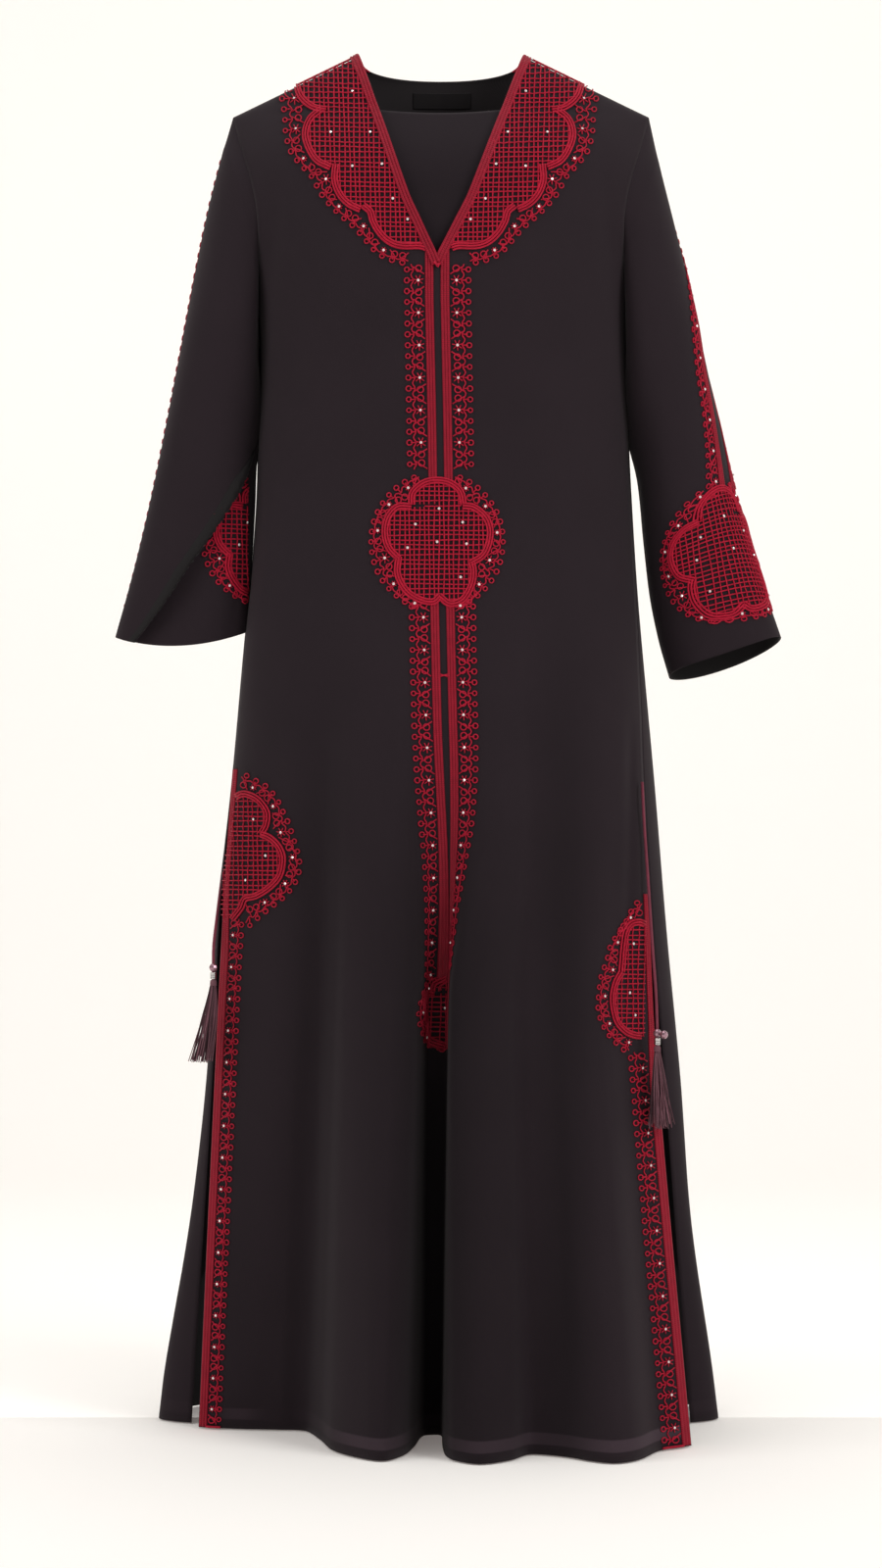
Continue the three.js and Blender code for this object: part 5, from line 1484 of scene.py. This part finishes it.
class KAFTAN_OT_panels(bpy.types.Operator):
    """Front and back panels with their folds, creases, shoulder and side seams"""
    bl_idname = "kaftan.panels"
    bl_label = "Front and back"

    def execute(self, context):
        thickness = context.scene.kaftan_cloth.thickness / MM
        rows = np.linspace(0, len(ROWS) - 1, FRONT_ROWS)
        half = np.concatenate([
            np.linspace(0, CENTRE_BAND, 26), np.linspace(CENTRE_BAND, HEM_LEFT, 76)[1:]])
        columns = np.concatenate([-half[::-1] - 1e-6, half * (HEM_RIGHT / HEM_LEFT) + 1e-6])
        u, z = front_grid(columns, rows)
        points = front_point(u, z).reshape(-1, 3)
        wide = len(columns)
        centre = len(half) - 1
        index = np.arange(points.shape[0]).reshape(len(rows), wide)
        joined_rows = row_height(rows, "front") <= -V_DEPTH
        index[joined_rows, centre + 1] = index[joined_rows, centre]
        quads = quads_of(len(rows), wide, lambda r, c: c != centre)
        quads = index.ravel()[quads]
        flat = np.stack([u, z], -1).reshape(-1, 2)
        above = (z - HEM_Z).ravel()
        # the front gets patches of painted light in its hem band and painted shade in its folds
        front = cloth_piece("robe_front", points, quads, flat, [finish_of("crepe"), finish_of("lining")],
                            "black_crepe", "front", thickness=thickness, hem_above=above,
                            light=painted_hem_light(points[:, 0]), darkening=painted_shade_and_tone(points))
        back_rows = np.linspace(0, len(ROWS) - 1, BACK_ROWS)
        grid, flat_back = back_grid(back_rows, BACK_COLUMNS)
        quads = quads_of(BACK_ROWS, BACK_COLUMNS)
        above = (grid[..., 2] - HEM_Z).ravel()
        back = cloth_piece("robe_back", grid.reshape(-1, 3), quads, flat_back.reshape(-1, 2),
                           [finish_of("crepe"), finish_of("lining")], "black_crepe", "back",
                           thickness=thickness, hem_above=above)
        return {"FINISHED"}


def painted_hem_light(x):
    """Share of painted light that brightens the unlined band above the hem: soft patches along it."""
    return sum(share * bump_at(x, at, half) for at, half, share in PAINTED_HEM_PATCHES)


def back_grid(rows, columns):
    """Back panel: each row is resampled at equal distances from edge to edge."""
    share = np.linspace(0, 1, 400)
    start, end = edge_angle(rows, True), np.pi - edge_angle(rows, False)
    angle = lerp(start[:, None], end[:, None], share[None])
    line = back_point(angle, np.repeat(rows[:, None], len(share), 1))
    step = np.linalg.norm(np.diff(line, axis=1), axis=2)
    reached = np.concatenate([np.zeros((len(rows), 1)), np.cumsum(step, 1)], 1)
    place = np.linspace(0, 1, columns)
    out = np.empty((len(rows), columns, 3))
    for r in range(len(rows)):
        for k in range(3):
            out[r, :, k] = np.interp(place * reached[r, -1], reached[r], line[r, :, k])
    flat = np.stack([place[None] * reached[:, -1:] - reached[:, -1:] / 2, out[..., 2]], -1)
    return out, flat


class KAFTAN_OT_sleeves(bpy.types.Operator):
    """Bell sleeves: the left one has its front folded under"""
    bl_idname = "kaftan.sleeves"
    bl_label = "Sleeves"

    def execute(self, context):
        thickness = context.scene.kaftan_cloth.thickness / MM
        for side, name in ((-1, "left"), (1, "right")):
            length = len(SLEEVES[side])
            s = np.linspace(-1, length - 1, SLEEVE_ROWS)
            t = np.linspace(0, 1, SLEEVE_COLUMNS)
            ss, tt = np.meshgrid(s, t, indexing="ij")
            grid = sleeve_point(side, ss, tt)
            grid = grid[:, :-1]
            wide = grid.shape[1]
            points = grid.reshape(-1, 3)
            wrap = np.concatenate([np.arange(wide), [0]])
            index = (np.arange(len(s))[:, None] * wide + wrap).ravel()
            quads = index[quads_of(len(s), wide + 1)]
            if side > 0:
                quads = quads[:, ::-1]
            normals = vertex_normals(points, quads)
            crease = sleeve_creases(side, ss[:, :-1], tt[:, :-1], length).reshape(-1, 1)
            points = points + normals * crease
            flat = np.stack([tt[:, :-1] * SLEEVE_GIRTH, grid[..., 2]], -1).reshape(-1, 2)
            down = np.linalg.norm(np.diff(grid, axis=0), axis=2)
            above = np.concatenate([np.cumsum(down[::-1], 0)[::-1], np.zeros((1, wide))]).ravel()
            sleeve = cloth_piece(f"robe_sleeve_{name}", points, quads, flat,
                                 [finish_of("crepe"), finish_of("lining")], "black_crepe",
                                 f"sleeve_{name}", thickness=thickness, hem_above=above + PAST_BAND)
        return {"FINISHED"}


INSERT_TOP, INSERT_BOTTOM, INSERT_LAP = -66.0, -250.0, 8.0
V_DRIFT = 4.0  # how far the V's point lies to the left of the middle
FACING_DROP = 47.0
LABEL_LEFT, LABEL_RIGHT, LABEL_TOP, LABEL_HEIGHT = -29.0, 31.0, -23.3, 15.6


class KAFTAN_OT_neck(bpy.types.Operator):
    """Insert in the V, facing inside the back neck and the bare label on it"""
    bl_idname = "kaftan.neck"
    bl_label = "Neck"

    def execute(self, context):
        share = np.linspace(0, 1, 60)[:, None]
        across = np.linspace(-1, 1, 49)[None]
        z = lerp(INSERT_TOP, INSERT_BOTTOM, share) - 4 * (1 - across ** 2) * (1 - share) ** 2
        edge_u = neck_half(z)
        x = (edge_u + INSERT_LAP) * across - V_DRIFT * clamp(-z / V_DEPTH)
        y = front_calm(np.maximum(edge_u, 1e-3), z)[..., 1] + 5 + 3 * (1 - across ** 2) * (1 - share)
        points = np.stack(np.broadcast_arrays(x, y, z), -1).reshape(-1, 3)
        flat = points[:, [0, 2]]
        insert = cloth_piece("v_insert", points, quads_of(*z.shape), flat, [finish_of("insert")],
                             "black_lining", "neck_insert", thickness=0.8)
        wide = np.linspace(-NECK_HALF - 0.5, NECK_HALF + 0.5, 121)
        x, drop = np.meshgrid(wide, np.linspace(0.3, FACING_DROP, 33))
        place, flat = inside_back(x, drop, 1.9), np.stack([x, -drop], -1).reshape(-1, 2)
        facing = cloth_piece("neck_facing", place.reshape(-1, 3), quads_of(*x.shape)[:, ::-1], flat,
                             [finish_of("facing")], "black_lining", "back_neck_facing", thickness=0.7)
        x, drop = np.meshgrid(np.linspace(LABEL_LEFT, LABEL_RIGHT, 61), np.linspace(0, LABEL_HEIGHT, 25))
        top = inside_back(x, 0 * drop, 0)[..., 2]
        place = inside_back(x, drop + top - LABEL_TOP, 3.2 - 0.4 * np.cos(x / 9) ** 8)
        label = cloth_piece("bare_label", place.reshape(-1, 3), quads_of(*x.shape)[:, ::-1],
                            np.stack([x, -drop], -1).reshape(-1, 2), [finish_of("label")], "black_lining",
                            "label", thickness=0.5)
        return {"FINISHED"}


def inside_back(x, drop, depth):
    """Inside of the back panel at x, a drop below its neckline and a depth in from it; the row of each
    height is read from a table."""
    rows = np.linspace(0, 4, 200)[:, None]
    across = x[:1]
    width = by_side(body, across >= 0, row_height(rows, "side"))
    table = back_point(np.arccos(power(across / width, ROUNDNESS / 2)), rows)[..., 2]
    row = np.empty(x.shape)
    for c in range(x.shape[1]):
        row[:, c] = np.interp(drop[:, c], table[0, c] - table[:, c], rows[:, 0])
    width = by_side(body, x >= 0, row_height(row, "side"))
    point = back_point(np.arccos(power(x / width, ROUNDNESS / 2)), row)
    point[..., 1] -= depth
    return point


KNOT = ((-2.8, -228, 2.6), (0, -231, 3.2), (2.6, -228.5, 2.6), (0.2, -233, 2.9))  # at the V's point
# crystals on the collar's net at the left, mirrored at the right
COLLAR_GEMS = ((-96, -4), (-128, -10), (-90, -36), (-72, -78), (-90, -112), (-60, -110), (-49, -145),
               (-34, -166), (-112, -78))


class KAFTAN_OT_collar(bpy.types.Operator):
    """Braid round the V and the scalloped lace of the collar"""
    bl_idname = "kaftan.collar"
    bl_label = "Collar"

    def execute(self, context):
        shapes = []
        z = np.concatenate([np.linspace(-2, 1 - V_DEPTH, 40), [-V_DEPTH - 4, -V_DEPTH - 11]])
        for side in (-1, 1):
            beside = np.interp(z, [-V_DEPTH - 11, -V_DEPTH], [0.6, 5.0])
            line = np.stack([side * (neck_half(z) + beside), z], -1)
            shapes.append((braid(front_point, line, 4.6, ridges=3, height=1.5 if side < 0 else 1.2,
                                 base=1.6 if side < 0 else 0.9), 0))
            x = side * np.linspace(83.9, 74, 14)
            depth = BACK_NECK_Y * np.sqrt(np.maximum(0, 1 - (x / NECK_HALF) ** 2))
            binding = np.stack([x, depth - 1, -back_neck_drop(x) - 1.2], -1)
            shapes.append((tube(smooth_path(binding, 26), np.linspace(2.6, 1.1, 26), 10), 1))
            shoulder = side * np.linspace(90, 146, 40)
            seam = front_point(shoulder, shoulder_z(shoulder) - 0.8)
            shapes.append((tube(seam + (0, -0.3, 0.6), 1.1, 8), 1))
        shapes.append((threads(front_point, [(np.array(KNOT), 1.5, False)], 8), 1))
        trim_piece("v_braid", shapes, ["neck_braid"])
        for side, name in ((-1, "left"), (1, "right")):
            flip = (lambda lines: lines) if side < 0 else mirrored
            lobes = flip(COLLAR_LOBES)
            shift = np.array((0.0, 0.0) if side < 0 else (-4.0, 0.0))
            lobes = [np.array(lobe, float) + shift for lobe in lobes]
            outer = np.array(flip([COLLAR_OUTER])[0], float) + shift
            inner = np.array(flip([COLLAR_INNER])[0], float) + shift
            corners = np.array(((side * 8, -198), (side * 90, 6), (side * 140, 2))) + shift
            more, gems = edging(inner, outer)
            runs = borders(lobes) + lattice(outline_of(lobes, corners), lean=0.02 * side) + more
            gems += [g + shift for g in np.array(COLLAR_GEMS, float) * (-side, 1)]

            def keep(points):
                seat = front_seen(points[:, 0], points[:, 1])
                lip = neck_half(seat[:, 2]) + 7
                return (np.abs(seat[:, 0] + V_DRIFT * clamp(-seat[:, 2] / V_DEPTH)) > lip) & (
                    seat[:, 2] < shoulder_z(seat[:, 0]) - 1.5)

            set_gems(front_seen, [g for g in gems if keep(np.array([g]))[0]])
            shape = threads(front_seen, kept_runs(runs, keep))
            lace_piece(f"collar_net_{name}", shape, f"collar_lace_{name}")
        return {"FINISHED"}


# the placket slips sideways into the middle fold: where it starts, over how long, and how far its braid
# and the rings of its lace go, at each side
SLIP_TOP, SLIP_RUN = -690.0, 190.0
SLIP_BRAID, SLIP_RINGS = {-1: 4.6, 1: -1.6}, {-1: 8.5, 1: -11.0}
# side, part, top and bottom of its braid, top and bottom of its lace
PLACKET_PARTS = (
    (-1, "left", "upper", -216, -444, -230, -432), (-1, "left", "lower", -560, -936, -562, -936),
    (1, "right", "upper", -216, -444, -230, -432), (1, "right", "lower", -560, -1004, -562, -925),
)
# distances of the placket's braid, the start of its lace and its rings from the middle
PLACKET_BRAID, PLACKET_LACE, PLACKET_RINGS = 7.75, 12.4, 30.2


def slipped(side, z, distance, slip):
    """Line at a distance from the middle of the front that slips sideways on its way down."""
    return np.stack([side * distance + slip[side] * smooth((SLIP_TOP - z) / SLIP_RUN), z], -1)


class KAFTAN_OT_placket(bpy.types.Operator):
    """Braids and picot edging down the middle of the front, and its two flowers"""
    bl_idname = "kaftan.placket"
    bl_label = "Placket and flowers"

    def execute(self, context):
        for side, name, part, top, bottom, lace_top, lace_bottom in PLACKET_PARTS:
            line = slipped(side, np.linspace(top, bottom, 24), PLACKET_BRAID, SLIP_BRAID)
            z = np.linspace(lace_top, lace_bottom, 30)
            inner = slipped(side, z, PLACKET_LACE, SLIP_BRAID)
            outer = slipped(side, z, PLACKET_RINGS, SLIP_RINGS)
            shapes = strip(front_point, line, 4.3, inner, outer)
            if part == "lower":
                tack = np.array([(side * 4, -634, 0.7), (0, -635, 1.5), (side * -4, -636, 0.7)])
                shapes.append((threads(front_point, [(tack, 0.8, False)]), 1))
            trim_piece(f"placket_{part}_trim_{name}", shapes, [f"placket_{part}_{name}"])
        shape = flower(front_seen, *WAIST_FLOWER, ((106, 254), (74, -74)))
        lace_piece("waist_flower", shape, "medallion_waist")
        shape = flower(front_point, *LOWER_FLOWER, ((112, 262),), keep=lambda p, q: p < 2,
                       gems=((-14, 8),))
        lace_piece("lower_flower", shape, "medallion_lower")
        return {"FINISHED"}


# side, name, top of the braid and of the lace, distance of the rings from the edge, and the cloth
SLIT_TRIMS = ((-1, "left", -727, -878, 21.0, front_left_edge),
              (1, "right", -852, -1008, 25.5, front_right_edge))


class KAFTAN_OT_hips(bpy.types.Operator):
    """Half flowers at the hips, and braid with picot edging down the slits"""
    bl_idname = "kaftan.hips"
    bl_label = "Hips and slits"

    def execute(self, context):
        keep_left = lambda points: points[:, 0] > -209 - 0.13 * (-735 - points[:, 1])
        shape = half_flower(front_seen, HIP_LEFT_LOBES, HIP_LEFT_INNER, HIP_LEFT_OUTER,
                            ((-224, -880), (-226, -850), (-206, -746)), keep_left,
                            [(-190, -778), (-178, -815), (-198, -840)])
        lace_piece("hip_flower_left", shape, "medallion_hip_left")
        keep_right = lambda points: points[:, 0] < 210
        shape = half_flower(front_seen, HIP_RIGHT_LOBES, HIP_RIGHT_INNER, HIP_RIGHT_OUTER,
                            ((208, -1001), (208, -884)), keep_right, [(197, -905), (194, -955), (199, -978)])
        lace_piece("hip_flower_right", shape, "medallion_hip_right")
        for side, name, top, lace_top, wide, surface in SLIT_TRIMS:
            z = np.linspace(top, HEM_Z + 1.2, 30)
            low = clamp((lace_top + 30 - z) / 60)
            line = np.stack([-side * lerp(3.2, 4.9, low), z], -1)
            half = lerp(2.6, 4.1, low)
            z = np.linspace(lace_top, HEM_Z + 4, 30)
            inner, outer = (np.stack([np.full(30, -side * d), z], -1) for d in (9.6, wide))
            shapes = strip(surface, line, half, inner, outer)
            end = np.array([(-side * d, HEM_Z + 1.5, 1.2) for d in np.linspace(8, wide + 2, 8)])
            shapes.append((threads(surface, [(end, 1.3, False)]), 1))
            trim_piece(f"slit_edge_{name}", shapes, [f"slit_trim_{name}"])
        return {"FINISHED"}


class KAFTAN_OT_sleeve_trims(bpy.types.Operator):
    """Braids, edging and flowers of the sleeves"""
    bl_idname = "kaftan.sleeve_trims"
    bl_label = "Sleeve trims"

    def execute(self, context):
        for side, name, rows in ((1, "right", ARM_TRIM_RIGHT), (-1, "left", ARM_TRIM_LEFT)):
            rows = np.array(rows, float)
            q = np.linspace(rows[0, 0], rows[-1, 0], 24)
            first, second, rings = (smooth_curve(rows[:, 0], rows[:, k])(q) for k in (1, 2, 3))
            surface = sleeve_flat(side)
            line = lambda p: np.stack([p, q], -1)
            half = 5.2 if side > 0 else 4.0
            shapes = strip(surface, line(first), half, line(first + half + 0.8), line(rings), -side)
            shapes += strip(surface, line(second), 4.0, line(second - 4.8), line(second - 22), -side)
            trim_piece(f"arm_trim_{name}", shapes, [f"sleeve_trim_{name}"])
        shape = flower(sleeve_flat(1), *SLEEVE_FLOWER, ((-254, 74),), outward=-1.0, shear=0.22)
        lace_piece("sleeve_flower_right", shape, "sleeve_medallion_right")
        shape = flower(sleeve_under(-1), *TUCKED_FLOWER, ((106, 254),),
                       keep=lambda p, q: (p < -196) & (q > -575))
        lace_piece("sleeve_flower_left", shape, "sleeve_medallion_left")
        return {"FINISHED"}


GEM_PROFILE = ((0.75, 0.8), (1.4, 0.15), (0.4, -0.9))  # radius and height of table, girdle and back


class KAFTAN_OT_gems(bpy.types.Operator):
    """Small cut crystals sewn on the lace: a flat table, sloping faces and a small flat back"""
    bl_idname = "kaftan.gems"
    bl_label = "Crystals"

    def execute(self, context):
        at = np.concatenate([g[0] for g in GEMS])
        normal = np.concatenate([g[1] for g in GEMS])
        side = unit(np.cross(normal, (0.2, 0.3, 1.0)))
        up = np.cross(normal, side)
        steps = 8
        ring = circle_round(side, up, 2 * np.pi * np.arange(steps) / steps)
        rows = [at[:, None] + normal[:, None] * high + ring * radius for radius, high in GEM_PROFILE]
        points = np.concatenate(rows, 1).reshape(-1, 3)
        base = (np.arange(len(at)) * 3 * steps)[:, None]
        c = np.arange(steps)
        d = (c + 1) % steps
        quads = [np.stack([base + r * steps + c, base + (r + 1) * steps + c,
                           base + (r + 1) * steps + d, base + r * steps + d], -1).reshape(-1, 4)
                 for r in (0, 1)]
        quads = np.concatenate(quads)
        centre = at[np.arange(len(quads)) % (len(at) * steps) // steps]
        facing = outward_faces(points, quads, centre)
        quads = np.where(facing[:, None], quads, quads[:, ::-1])
        table, back = base + c, base + 2 * steps + c[::-1]
        mesh = mesh_from("crystals", points, [quads, np.concatenate([table, back])])
        mesh.polygons.foreach_set("use_smooth", np.zeros(len(mesh.polygons), bool))
        piece("crystals", mesh, [finish_of("gem")], "silver_collet")
        return {"FINISHED"}


def outward_faces(points, quads, centre):
    """Whether each face turns away from the middle of its own crystal."""
    return ((points[quads].mean(1) - centre) * face_normals(points, quads)).sum(1) > 0


def clear_from_behind(nodes, links, shader):
    """Let the paper be looked through from its back, so that the robe can be seen from every side."""
    output = next(n for n in nodes if n.bl_idname == "ShaderNodeOutputMaterial")
    mix = node(nodes, "MixShader")
    links.new(node(nodes, "NewGeometry").outputs["Backfacing"], mix.inputs[0])
    links.new(shader.outputs[0], mix.inputs[1])
    links.new(node(nodes, "BsdfTransparent").outputs[0], mix.inputs[2])
    links.new(mix.outputs[0], output.inputs["Surface"])


# floor and backdrop in metres: the floor's height, where it starts to bend up, the bend's radius, and
# how far the sweep reaches to each side and up
FLOOR_Z, FLOOR_END, SWEEP_BEND, SWEEP_REACH, SWEEP_HEIGHT = -1.3985, 2.2, 1.6, 9.0, 8.0
# lamps: name, place, where it is aimed, size, and share of the key light's power
LAMPS = (
    ("backdrop", (0, 0.7, 0.6), (0, 3.8, -0.4), 5.0, 0.4),
    ("key", (3.0, -2.6, 1.2), (0, 0, -0.75), 1.8, 1.35),
    ("fill", (-3.0, -1.8, 0.6), (0, 0, -0.8), 2.4, 0.75),
    ("top", (0, -0.4, 2.6), (0, 0, -0.6), 2.4, 0.6),
)


class KAFTAN_OT_stage(bpy.types.Operator):
    """Pale seamless floor and backdrop with soft light"""
    bl_idname = "kaftan.stage"
    bl_label = "Stage"

    def execute(self, context):
        stage = context.scene.kaftan_stage
        turn = np.linspace(0, np.pi / 2, 24)
        curve = np.stack([FLOOR_END + SWEEP_BEND * np.sin(turn), SWEEP_BEND * (1 - np.cos(turn))], -1)
        profile = np.concatenate([
            [(-SWEEP_REACH, 0.0)], curve, [(FLOOR_END + SWEEP_BEND, SWEEP_HEIGHT)]])
        x = np.array([-SWEEP_REACH, SWEEP_REACH])
        points = np.stack([
            np.repeat(x[None], len(profile), 0), np.repeat(profile[:, :1], 2, 1),
            np.repeat(profile[:, 1:], 2, 1) + FLOOR_Z], -1).reshape(-1, 3) / MM
        mesh = mesh_from("sweep", points, [quads_of(len(profile), 2)[:, ::-1]])
        material, nodes, links, shader = principled("sweep_paper", (0.95, 0.935, 0.9), 0.9)
        shader.inputs["Emission Color"].default_value = (1, 0.86, 0.82, 1)
        shader.inputs["Emission Strength"].default_value = 0.125
        bumped(nodes, links, texture(nodes, links, "TexNoise", Scale=60), shader, 0.02, 0.001)
        clear_from_behind(nodes, links, shader)
        floor = bpy.data.objects.new("sweep", mesh)
        mesh.materials.append(material)
        context.scene.collection.objects.link(floor)
        context.scene.view_settings.view_transform = "Standard"
        world = bpy.data.worlds.new("studio")
        context.scene.world = world
        world.use_nodes = True
        background = world.node_tree.nodes["Background"]
        background.inputs["Color"].default_value = (1, 0.987, 0.955, 1)
        background.inputs["Strength"].default_value = 0.36
        for name, place, aim, size, share in LAMPS:
            data = bpy.data.lights.new(name, "AREA")
            data.size = size
            data.energy = stage.key_power * share
            lamp = bpy.data.objects.new(name, data)
            lamp.location = place
            lamp.visible_camera = False
            direction = np.array(aim) - np.array(place)
            yaw = math.atan2(direction[1], direction[0]) - math.pi / 2
            pitch = math.atan2(direction[2], math.hypot(direction[0], direction[1]))
            lamp.rotation_euler = (math.pi / 2 + pitch, 0, yaw)
            context.scene.collection.objects.link(lamp)
        return {"FINISHED"}


class KAFTAN_PT_panel(bpy.types.Panel):
    """Sizes and colours, and the steps in their order"""
    bl_idname = "KAFTAN_PT_panel"
    bl_label = "Kaftan"
    bl_space_type = "VIEW_3D"
    bl_region_type = "UI"
    bl_category = "Kaftan"

    def draw(self, context):
        for group in (context.scene.kaftan_stage, context.scene.kaftan_cloth, context.scene.kaftan_trim):
            box = self.layout.box()
            for name in group.bl_rna.properties.keys():
                if name not in ("rna_type", "name"):
                    box.prop(group, name)
        for step in STEPS:
            self.layout.operator(step.bl_idname)


STEPS = (KAFTAN_OT_camera, KAFTAN_OT_cords, KAFTAN_OT_panels, KAFTAN_OT_sleeves, KAFTAN_OT_neck,
         KAFTAN_OT_collar, KAFTAN_OT_placket, KAFTAN_OT_hips, KAFTAN_OT_sleeve_trims, KAFTAN_OT_gems,
         KAFTAN_OT_stage)
GROUPS = {"kaftan_cloth": KaftanCloth, "kaftan_trim": KaftanTrim, "kaftan_stage": KaftanStage}


def register():
    for item in (*GROUPS.values(), *STEPS, KAFTAN_PT_panel):
        bpy.utils.register_class(item)
    for name, group in GROUPS.items():
        setattr(bpy.types.Scene, name, PointerProperty(type=group))


def unregister():
    for name in GROUPS:
        delattr(bpy.types.Scene, name)
    for item in (KAFTAN_PT_panel, *reversed(STEPS), *GROUPS.values()):
        bpy.utils.unregister_class(item)


def main():
    register()
    for step in STEPS:
        group, name = step.bl_idname.split(".")
        getattr(getattr(bpy.ops, group), name)()


if __name__ == "__main__":
    main()
